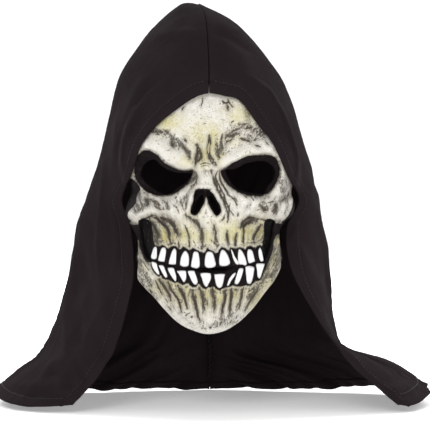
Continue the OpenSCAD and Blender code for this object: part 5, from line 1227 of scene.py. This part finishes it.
def hood_base(ctrl, right):
    """The cloth's inner face as a fine grid, the flat place of each point, and its distance from the front edge, the seam and the hem."""
    qk = 1
    vs = np.concatenate([[0, 0.0016, 0.0034, 0.0056, 0.0085, 0.0125], np.linspace(0.018, 0.962, 176 // qk), 1 - np.array([13.6, 12, 10.4, 8.6, 6.8, 5, 3.2, 1.5, 0]) / 420])
    rows = spline(ctrl, vs)
    u = np.linspace(0, 1, 400)
    curves = spline(np.swapaxes(rows, 0, 1), u)          # (400, nv, 3)
    curves = np.swapaxes(curves, 0, 1)
    seg = np.linalg.norm(np.diff(curves, axis=1), axis=2)
    acc = np.concatenate([np.zeros((len(vs), 1)), np.cumsum(seg, 1)], 1)
    total = acc[:, -1]
    near = np.array([0, 1.0, 2.5, 4, 6, 8, 9.4, 10.4, 11.2, 12, 13, 14.6, 16.6])
    far = np.array([7.5, 5.2, 3.4, 2.0, 0.9, 0])
    nm = 128 // qk
    grid = np.zeros((len(vs), len(near) + nm + len(far), 3))
    dist = np.zeros(grid.shape[:2])
    for r in range(len(vs)):
        t0, t1 = near[-1] + 2, total[r] - far[0] - 2
        d = np.concatenate([near, np.linspace(t0, t1, nm), total[r] - far])
        dist[r] = d
        for k in range(3):
            grid[r, :, k] = np.interp(d, acc[r], curves[r, :, k])
    # smooth the joins of the straight samples a little
    step = np.linalg.norm(np.diff(grid, axis=0), axis=2)
    down = np.concatenate([np.zeros((1, grid.shape[1])), np.cumsum(step, 0)])
    return grid, dist, total[:, None] - dist, down, down[-1][None] - down


def clear_face(g):
    """Where the cloth lies on the latex it is held clear of it."""
    x, y, z = g[..., 0], g[..., 1], g[..., 2]
    d = np.stack([x - C0[0], z - C0[1]], -1)
    s = np.hypot(d[..., 0], d[..., 1]) / outline_radius(np.degrees(np.arctan2(d[..., 1], d[..., 0])))
    m = (s <= 1.05) & (((z >= -12) & (y <= -20)) | ((z >= -70) & (y <= -44)))
    sc = np.minimum(s, 1.0)
    k = np.where(s > 1, 1 / np.maximum(s, 1e-6), 1)
    xs, zs = C0[0] + d[..., 0] * k, C0[1] + d[..., 1] * k
    yy = y.copy()
    px, pz = xs[m], zs[m]
    fy = calm_y(px, pz)
    sx, sz = (calm_y(px + 1.5, pz) - calm_y(px - 1.5, pz)) / 3, (calm_y(px, pz + 1.5) - calm_y(px, pz - 1.5)) / 3
    ny = 1 / np.sqrt(1 + sx**2 + sz**2)
    yy[m] = np.minimum(yy[m], fy - 2.6 / ny)
    out = g.copy()
    out[..., 1] = yy
    return out


def smooth_grid(a, times, mask=None):
    for _ in range(times):
        b = a.copy()
        b[1:-1, 1:-1] = (a[1:-1, 1:-1] * 2 + a[:-2, 1:-1] + a[2:, 1:-1] + a[1:-1, :-2] + a[1:-1, 2:]) / 6
        b[1:-1, 0] = (a[1:-1, 0] * 2 + a[:-2, 0] + a[2:, 0]) / 4
        a = b if mask is None else a + (b - a) * mask[..., None]
    return a


def drape(g, right, edge, seam, top, low):
    """Folds. The front ones are listed; the sides and back fall in long soft folds from the crown."""
    n = grid_out(g if not right else g)
    pos = g * (np.array([-1, 1, 1]) if right else 1)
    nrm = n * (np.array([-1, 1, 1]) if right else 1)
    xp, zp = plane(pos[..., 0], pos[..., 1], pos[..., 2])
    face_on = sstep(-0.02, -0.22, nrm[..., 1])
    wx, wz = 1.2 * fbm(xp, zp, 30, 2, 201), 1.2 * fbm(xp, zp, 30, 2, 202)
    h = np.zeros(xp.shape)
    for sh, pts, w, amt in FOLDS:
        p = crom(on(sh, pts), n=5) if len(pts) > 2 else on(sh, pts)
        near = (xp > p[:, 0].min() - 4 * w) & (xp < p[:, 0].max() + 4 * w) & (zp > p[:, 1].min() - 4 * w) & (zp < p[:, 1].max() + 4 * w)
        if near.any():
            d, t = seg_dist(xp[near] + wx[near], zp[near] + wz[near], p)
            tap = sstep(0, 0.22, t) * sstep(1, 0.78, t)
            tap = 0.25 + 0.75 * tap
            e = np.exp(-((d / w) ** 2))
            h[near] += 0.75 * amt * tap * e
    h *= face_on
    # long folds at the sides and back
    total_u, total_v = edge + seam, top + low
    s, v = edge, top / np.maximum(total_v, 1)
    warp = 16 * fbm(s, top, 130, 2, 301 + right)
    f1 = fbm(s + warp, top * 0.16 + 30 * right, 30, 2, 311 + right)
    f2 = fbm(s * 1.0 + 0.7 * warp, top * 0.22, 15, 2, 321 + right)
    ridge = 1 - 2.4 * np.abs(f1)
    back = 1 - 0.85 * face_on
    grow = sstep(0.16, 0.85, v)
    join = sstep(0, 26, np.minimum(seam, top))      # both panels meet at the same height along their seam
    h += back * grow * (5.0 * ridge - 3.4 + 1.7 * f2) * sstep(14, 60, edge) * sstep(0, 42, seam)
    # broad unevenness and small creases everywhere
    h += (1.6 * fbm(s, top, 60, 2, 331 + right) + 0.5 * fbm(s + warp, top * 0.5, 14, 3, 341 + right)) * sstep(6, 40, edge) * join
    h += 0.22 * fbm(s, top, 6, 2, 351 + right) * join
    # bottom: the cloth spreads in shallow waves over the shoulders
    h += 2.2 * np.sin((s + warp) / 17.0 + 1.3 * right) * sstep(90, 20, low) * sstep(20, 90, edge) * back * join
    # it lies nearly flat by the glued edge and never goes into the latex
    glued = sstep(-36, -16, pos[..., 2]) * sstep(26, 11, edge)
    h = h * (1 - 0.8 * glued) + 0.2 * glued
    by_mask = sstep(70, 30, edge) * sstep(-132, -112, pos[..., 2])
    h = np.where(h < 0, h * (1 - 0.55 * by_mask), h)
    # seam valley with puckers, and the sewn line of the hems
    dseam = np.minimum(seam, top)
    run = np.where(top < seam, edge, top)
    h -= 1.0 * np.exp(-((dseam / 1.5) ** 2)) - 0.10 * np.exp(-((dseam / 4.0) ** 2)) * np.sin(run / 2.1 + 2.5 * fbm(run, dseam, 12, 2, 371))
    h -= 0.75 * np.exp(-(((edge - 10.4) / 1.1) ** 2)) + 0.22 * np.sin(top / 1.35 + 2 * fbm(s, top, 9, 2, 361)) * np.exp(-(((edge - 10.4) / 4.0) ** 2))
    h -= 0.6 * np.exp(-(((low - 10.4) / 1.2) ** 2))
    h += 0.35 * sstep(11.5, 9.0, edge) * sstep(0, 3, edge)
    return g + n * h[..., None]


def build_hood(ctrl, right):
    c = ctrl * (np.array([-1, 1, 1]) if right else 1)
    g, edge, seam, top, low = hood_base(c, right)
    gg = g * (np.array([-1, 1, 1]) if right else 1)
    gg = clear_face(gg)
    g2 = gg * (np.array([-1, 1, 1]) if right else 1)
    g = smooth_grid(g2, 3)
    g[0], g[-1] = g2[0], g2[-1]
    g[:, 0], g[:, -1] = g2[:, 0], g2[:, -1]
    g = drape(g, right, edge, seam, top, low)
    n = grid_out(g)
    nr, nc = g.shape[:2]
    hc, hr = 9, nr - 1 - 7            # the column and row where the turned hems end
    out_dir = g[:, 0] - g[:, 1]
    out_dir /= np.linalg.norm(out_dir, axis=1, keepdims=True)
    down_dir = g[-1] - g[-2]
    down_dir /= np.linalg.norm(down_dir, axis=1, keepdims=True)
    cols = [(i, 0, -0.55) for i in range(hc, -1, -1)] + [(0, 0.42, -0.40), (0, 0.6, -0.05), (0, 0.42, 0.30)] + [(i, 0, 0.45) for i in range(nc)]
    rows = [(i, 0, 0.0) for i in range(nr)] + [(nr - 1, 0.42, -0.15), (nr - 1, 0.6, -0.5), (nr - 1, 0.42, -0.85)] + [(i, 0, -1.0) for i in range(nr - 1, hr - 1, -1)]
    mids = np.zeros((len(rows), len(cols), 3))
    cut = np.zeros((len(rows), len(cols), 2))
    for a, (ri, rx, ro) in enumerate(rows):
        for b, (ci, cx, co) in enumerate(cols):
            mids[a, b] = g[ri, ci] + n[ri, ci] * (ro + co) + out_dir[ri] * cx + down_dir[ci] * rx
            cut[a, b] = (edge[ri, ci] * (1 if b > hc + 3 else -1), top[ri, ci] + (2 * low[ri, ci] if a > nr else 0))
    return g, n, mids, cut, edge, top, low


hoods, stitch_pts = [], []
for side, ctrl in ((0, HL), (1, HR)):
    g, n, mids, cut, edge, top, low = build_hood(ctrl, side)
    ob = sheet_mesh("hood_cloth_" + ("right" if side else "left"), mids, 0.8, mirror=bool(side), cut=cut)
    ob.data.materials.append(CLOTH)
    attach(ob, "mask")
    s = "right" if side else "left"
    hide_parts("hood_panel_" + s, "front_hem_" + s, "bottom_hem_" + s)
    hoods.append((ob, g, n, edge, top, low))


# ------------------------------------------------------------------ stitches
def resample(p, step):
    p = np.asarray(p, float)
    seg = np.linalg.norm(np.diff(p, axis=0), axis=1)
    acc = np.concatenate([[0], np.cumsum(seg)])
    t = np.arange(0, acc[-1], step)
    return np.stack([np.interp(t, acc, p[:, k]) for k in range(3)], 1), t, acc


def stitch_run(line, nrm, length=2.7, pitch=3.5, r=0.26, sides=6):
    """Single stitches along a line, each a short bent thread whose ends dive into the cloth."""
    seg = np.linalg.norm(np.diff(line, axis=0), axis=1)
    acc = np.concatenate([[0], np.cumsum(seg)])
    V, F = [], []
    k = 0
    for t0 in np.arange(pitch, acc[-1] - pitch, pitch):
        ts = np.linspace(t0, t0 + length, 6)
        c = np.stack([np.interp(ts, acc, line[:, j]) for j in range(3)], 1)
        m = np.stack([np.interp(ts, acc, nrm[:, j]) for j in range(3)], 1)
        m /= np.linalg.norm(m, axis=1, keepdims=True)
        lift = np.array([-0.5, 0.05, 0.17, 0.17, 0.05, -0.5])
        c = c + m * lift[:, None]
        tan = np.gradient(c, axis=0)
        tan /= np.linalg.norm(tan, axis=1, keepdims=True)
        side = np.cross(tan, m)
        side /= np.linalg.norm(side, axis=1, keepdims=True)
        up = np.cross(side, tan)
        for i in range(6):
            for q in range(sides):
                a = 2 * math.pi * q / sides
                V.append(c[i] + r * (math.cos(a) * side[i] + math.sin(a) * up[i]))
        for i in range(5):
            for q in range(sides):
                q2 = (q + 1) % sides
                F.append((k + i * sides + q, k + (i + 1) * sides + q, k + (i + 1) * sides + q2, k + i * sides + q2))
        F.append(tuple(k + q for q in range(sides)))
        F.append(tuple(k + 5 * sides + q for q in reversed(range(sides))))
        k += 6 * sides
    return V, F


def thread_piece(name, runs, node, **kw):
    V, F = [], []
    for line, nrm in runs:
        v, f = stitch_run(line, nrm, **kw)
        k = len(V)
        V += v
        F += [tuple(i + k for i in q) for q in f]
    ob = add_mesh(name, V, F)
    put_attr(ob, "rest", np.array(V))
    ob.data.materials.append(THREAD)
    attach(ob, "mask")
    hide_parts(node)
    return ob


front_runs, bottom_runs = [], []
for side, (ob, g, n, edge, top, low) in enumerate(hoods):
    flip = np.array([-1, 1, 1]) if side else np.array([1, 1, 1])
    c = 7                                   # the column 10.4 mm from the front edge
    line = (g[:, c] + n[:, c] * 0.86) * flip
    front_runs.append((line[3:-2], (n[:, c] * flip)[3:-2]))
    r = g.shape[0] - 7                      # the row about 10.4 mm above the hem's edge
    line = (g[r] + n[r] * 0.86) * flip
    bottom_runs.append((line[8:-3], (n[r] * flip)[8:-3]))
front_st = thread_piece("front_hem_stitches", front_runs, "front_hem_thread")
bottom_st = thread_piece("bottom_hem_stitches", bottom_runs, "bottom_hem_thread")

# ------------------------------------------------------------------ crown and back seam: two allowances side by side, overlocked
gl, gr = hoods[0][1], hoods[1][1] * np.array([-1, 1, 1])
crown = (gl[0] + gr[0]) / 2
back = (gl[:, -1] + gr[:, -1]) / 2
path = np.concatenate([crown[0:], back[1:]])
path, _, _ = resample(path, 2.6)
path[1:-1] = (path[:-2] + 2 * path[1:-1] + path[2:]) / 4
tan = np.gradient(path, axis=0)
tan /= np.linalg.norm(tan, axis=1, keepdims=True)
inn = np.cross(np.array([1.0, 0, 0]), tan)
inn /= np.linalg.norm(inn, axis=1, keepdims=True)
centre = np.array([0, 10, 0])
if np.mean(np.sum(inn * (centre - path), 1)) < 0:
    inn = -inn
sway = 0.5 * np.sin(np.arange(len(path)) * 0.31) + 0.35 * np.sin(np.arange(len(path)) * 0.83)
depths = [-0.15, 0.4, 1.1, 2.8, 4.6, 6.2, 7.6]
root = [0.68, 0.30, 0.0, 0.0, 0.0, 0.0, 0.0]     # each allowance is its panel's own edge turned in
run_ = np.concatenate([[0], np.cumsum(np.linalg.norm(np.diff(path, axis=0), axis=1))])
ahead = (0.12 + 0.88 * sstep(8, 28, run_))[:, None]     # the allowances are trimmed away at the front edge
slim = ahead * (0.25 + 0.75 * sstep(9, 17, run_[-1] - run_))[:, None]     # and are narrow inside the hem
fins = []
for sgn in (-1, 1):
    rows_ = np.stack([path + inn * (d * slim if d > 0 else d) + np.array([1.0, 0, 0]) * (sgn * (0.27 + w0 + 0.25 * (1 - ahead)) + sway[:, None] * slim * (d / 8) ** 2) for d, w0 in zip(depths, root)], 0)
    if sgn > 0:
        rows_ = rows_[::-1]
    fins.append(rows_)
fin_l = sheet_mesh("seam_allowance_left", np.swapaxes(fins[0], 0, 1), 0.53, cut=np.stack(np.meshgrid(np.array(depths), np.arange(len(path)) * 2.6), -1))
fin_r = sheet_mesh("seam_allowance_right", np.swapaxes(fins[1], 0, 1), 0.53, cut=np.stack(np.meshgrid(np.array(depths), np.arange(len(path)) * 2.6), -1))
for f in (fin_l, fin_r):
    f.data.materials.append(CLOTH)
    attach(f, "mask")
    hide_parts("crown_seam")


def tube(name, pts, r, sides=5, closed=False):
    pts = np.asarray(pts, float)
    t = np.gradient(pts, axis=0)
    t /= np.maximum(np.linalg.norm(t, axis=1, keepdims=True), 1e-9)
    ref = np.array([0.31, 0.2, 0.93])
    s = np.cross(t, ref)
    s /= np.linalg.norm(s, axis=1, keepdims=True)
    u = np.cross(s, t)
    V = [pts + r * (math.cos(2 * math.pi * k / sides) * s + math.sin(2 * math.pi * k / sides) * u) for k in range(sides)]
    V = np.stack(V, 1).reshape(-1, 3)
    F = []
    for i in range(len(pts) - 1):
        for k in range(sides):
            k2 = (k + 1) % sides
            F.append((i * sides + k, i * sides + k2, (i + 1) * sides + k2, (i + 1) * sides + k))
    F.append(tuple(reversed(range(sides))))
    F.append(tuple((len(pts) - 1) * sides + k for k in range(sides)))
    ob = add_mesh(name, V, F)
    put_attr(ob, "rest", V)
    return ob


# overlock thread wound round the raw edges of the allowance
m = len(path)
tt = np.arange(np.searchsorted(run_, 24), np.searchsorted(run_, run_[-1] - 15), 0.25)
pp = np.stack([np.interp(tt, np.arange(m), path[:, k]) for k in range(3)], 1)
ii = np.stack([np.interp(tt, np.arange(m), inn[:, k]) for k in range(3)], 1)
sw = np.interp(tt, np.arange(m), sway)
ph = tt * 2 * math.pi * 0.5
lock = pp + ii * (6.9 + 1.1 * np.sin(ph))[:, None] + np.array([1.0, 0, 0]) * (0.85 * np.cos(ph) + sw * 0.85)[:, None]
lock_ob = tube("overlock_thread", lock, 0.22)
lock_ob.data.materials.append(THREAD)
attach(lock_ob, "mask")
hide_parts("crown_seam")

# ------------------------------------------------------------------ glue between the latex and the hem
V, F = [], []
for side, (ob, g, n, edge, top, low) in enumerate(hoods):
    flip = np.array([-1, 1, 1]) if side else np.array([1, 1, 1])
    zz = g[:, 0, 2]
    rows_ = [r for r in range(2, g.shape[0]) if zz[r] > -16][::2]
    k0 = len(V)
    prof = [(3.2, -0.95), (3.8, -1.5), (5.2, -1.8), (6.8, -1.75), (8.4, -1.35), (9.2, -0.95)]
    for q, r in enumerate(rows_):
        wv = 0.7 * math.sin(q * 0.9) + 0.5 * math.sin(q * 2.3)
        for d, o in prof:
            dd = np.interp(d + 0.5 * wv, edge[r], np.arange(g.shape[1]))
            i0 = int(dd)
            f = dd - i0
            p = g[r, i0] * (1 - f) + g[r, i0 + 1] * f
            V.append((p + n[r, i0] * (o - 0.1 * wv)) * flip)
    w = len(prof)
    for q in range(len(rows_) - 1):
        for j in range(w):
            j2 = (j + 1) % w
            f4 = (k0 + q * w + j, k0 + q * w + j2, k0 + (q + 1) * w + j2, k0 + (q + 1) * w + j)
            F.append(f4 if side else f4[::-1])
    for q, rev in ((0, True), (len(rows_) - 1, False)):
        loop = [k0 + q * w + j for j in range(w)]
        F.append(tuple(loop[::-1] if rev != bool(side) else loop))
glue = add_mesh("glue_bead", V, F)
put_attr(glue, "rest", np.array(V))
glue.data.materials.append(GLUE)
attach(glue, "mask")
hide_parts("glue_strip")

# ------------------------------------------------------------------ elastic, patches, bar tacks
EL = np.array([[70, -46], [76, -18], [77, 18], [66, 60], [41, 84], [0, 92]], float)
EZ, ET = 34.0, 1.2


def band_side(sd):
    xs = np.array([54, 58, 62, 65.5]) * sd
    ends_ = [calm_pt(np.full(9, xx), EZ + np.linspace(-10, 10, 9), -LATEX - 0.95)[0] for xx in xs]
    free = spline(EL, np.linspace(0, 1, 46))
    cols = [np.stack([np.full(9, sd * q[0]), np.full(9, q[1]), EZ + np.linspace(-10, 10, 9)], 1) for q in free]
    return ends_ + cols


left, right = band_side(-1), band_side(1)
band = np.stack(left + right[::-1][1:], 1)               # 9 rows across, columns round the head
band = np.concatenate([band[:, :1], (band[:, :-2] + 2 * band[:, 1:-1] + band[:, 2:]) / 4, band[:, -1:]], 1)
seg = np.linalg.norm(np.diff(band[4], axis=0), axis=1)
run = np.concatenate([[0], np.cumsum(seg)])
t = np.arange(0, run[-1], 2.2)
band = np.stack([np.stack([np.interp(t, run, band[r, :, k]) for k in range(3)], 1) for r in range(9)], 0)
cut = np.stack(np.meshgrid(t, np.linspace(-10, 10, 9)), -1)
band[0, :, 2] += 0.12 * np.sin(t * 1.1)
band[-1, :, 2] += 0.12 * np.sin(t * 1.1 + 1)
elastic = sheet_mesh("elastic_band", band, ET, cut=cut)
elastic.data.materials.append(ELASTIC)
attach(elastic, "mask")
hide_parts("head_elastic")

patch_obs, tack_runs = [], []
for sd, nm_ in ((-1, "left"), (1, "right")):
    a, b = np.meshgrid(np.linspace(50.2, 61.8, 13), np.linspace(-13, 13, 21))
    if sd > 0:
        xx = a
    else:
        xx = -a[:, ::-1]
    fray = 0.25 * np.sin(b * 2.1) * (np.abs(a - 56) > 5.3)
    p, pn = calm_pt(xx + fray, EZ + b, -LATEX - 2.05)
    ob = sheet_mesh("elastic_patch_" + nm_, p, 0.7, cut=np.stack([xx, b], -1))
    ob.data.materials.append(PATCH)
    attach(ob, "mask")
    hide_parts("elastic_patches")
    patch_obs.append(ob)
    for xc in (56.0, 60.0):
        zs = EZ + np.linspace(-11, 11, 40)
        q, qn = calm_pt(np.full(40, sd * xc), zs, -LATEX - 2.42)
        tack_runs.append((q, -qn))
tacks = thread_piece("bar_tacks", tack_runs, "elastic_stitching", length=1.7, pitch=2.1, r=0.3)

# ------------------------------------------------------------------ blank care label, folded double
lw, ll = 17.0, 33.0
prof = [(0.0, -0.38), (8.0, -0.36), (15.6, -0.34), (16.6, -0.26), (17.0, 0.0), (16.6, 0.26), (15.6, 0.34), (8.0, 0.36), (0.0, 0.38)]
prof = crom(np.array(prof), n=3)
zz = np.linspace(0, 1, 14)
lab = np.zeros((len(prof), len(zz), 3))
for i, (u_, w_) in enumerate(prof):
    curl = 1.4 * (u_ / lw) ** 2 * np.sin(zz * 2.6) - 0.8 * (u_ / lw) ** 2
    lab[i] = np.stack([-0.6 + u_ * np.ones(14), 107.9 + w_ - 1.2 * (u_ / lw) + curl, -104 - ll / 2 + ll * zz], 1)
arc = np.concatenate([[0], np.cumsum(np.hypot(*np.diff(prof, axis=0).T))])
label = sheet_mesh("care_label_blank", lab, 0.3, cut=np.stack(np.meshgrid(ll * zz, arc), -1))
label.data.materials.append(LABEL)
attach(label, "mask")
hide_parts("care_label")

# ------------------------------------------------------------------ the hood panels: area and lengths, printed
for ob, g, n, edge, top, low in hoods:
    a = 0
    d1, d2 = np.diff(g, axis=0)[:, :-1], np.diff(g, axis=1)[:-1]
    a = np.linalg.norm(np.cross(d1, d2), axis=2).sum() * 1e-6
    print("panel area", ob.name, round(a, 4), "front edge", round(top[-1, 0] / 1000, 3), "back", round(top[-1, -1] / 1000, 3), "hem", round(edge[-1, -1] / 1000, 3), "widest", round(edge[:, -1].max() / 1000, 3))


# ------------------------------------------------------------------ floor, light, camera
def stage_mesh():
    prof = [(y, 0.0) for y in np.linspace(-5.0, 5.0, 11)]
    z0 = min(CAD_LO[2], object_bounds()[0][2]) - 0.0003
    xs = np.linspace(-5.0, 5.0, 9)
    V = [(x, y, z0 + h) for y, h in prof for x in xs]
    F = [(i * 9 + j, i * 9 + j + 1, (i + 1) * 9 + j + 1, (i + 1) * 9 + j) for i in range(len(prof) - 1) for j in range(8)]
    me = bpy.data.meshes.new("studio_floor")
    me.from_pydata(V, [], F)
    me.polygons.foreach_set("use_smooth", [True] * len(F))
    ob = bpy.data.objects.new("studio_floor", me)
    bpy.context.scene.collection.objects.link(ob)
    m, nt, b = material("studio_white")
    b.inputs["Base Color"].default_value = (0.93, 0.93, 0.93, 1)
    b.inputs["Roughness"].default_value = 0.9
    b.inputs["Specular IOR Level"].default_value = 0.1
    b.inputs["Emission Color"].default_value = (1, 1, 1, 1)
    b.inputs["Emission Strength"].default_value = 0.32
    me.materials.append(m)
    return ob


stage_mesh()
scene = bpy.context.scene
world = bpy.data.worlds.new("studio")
world.use_nodes = True
world.node_tree.nodes["Background"].inputs[0].default_value = (1, 1, 1, 1)
# the air behind is plain white, and lights the mask only softly
path_, sum_ = world.node_tree.nodes.new("ShaderNodeLightPath"), world.node_tree.nodes.new("ShaderNodeMath")
sum_.operation = "MULTIPLY_ADD"
sum_.inputs[1].default_value, sum_.inputs[2].default_value = 0.70, 0.43
world.node_tree.links.new(path_.outputs["Is Camera Ray"], sum_.inputs[0])
world.node_tree.links.new(sum_.outputs[0], world.node_tree.nodes["Background"].inputs[1])
scene.world = world


def area(name, at, target, size, power, size_y=None):
    d = bpy.data.lights.new(name, "AREA")
    d.energy = power
    d.size = size
    if size_y:
        d.shape, d.size_y = "RECTANGLE", size_y
    ob = bpy.data.objects.new(name, d)
    ob.location = at
    ob.rotation_euler = (Vector(target) - Vector(at)).to_track_quat("-Z", "Y").to_euler()
    scene.collection.objects.link(ob)


area("key_light", (-0.40, -1.75, 0.95), (0, -0.05, -0.02), 0.8, 12.3)
area("fill_light", (0.75, -1.7, 0.30), (0, -0.05, -0.04), 1.0, 4.8)
area("top_light", (0.0, 0.1, 1.7), (0, 0, 0), 1.4, 5)
area("floor_light_left", (-1.3, 2.0, 1.5), (-0.9, 2.7, -0.2), 2.0, 120)
area("floor_light_right", (1.3, 2.0, 1.5), (0.9, 2.7, -0.2), 2.0, 120)

cam = bpy.data.cameras.new("front_camera")
cam.lens, cam.sensor_width = 153.6, 36
cam.clip_end = 20
co = bpy.data.objects.new("front_camera", cam)
co.location = (CAM[0] * M, CAM[1] * M, CAM[2] * M)
co.rotation_euler = (math.radians(90), 0, 0)
scene.collection.objects.link(co)
scene.camera = co
scene.view_settings.view_transform = "Standard"
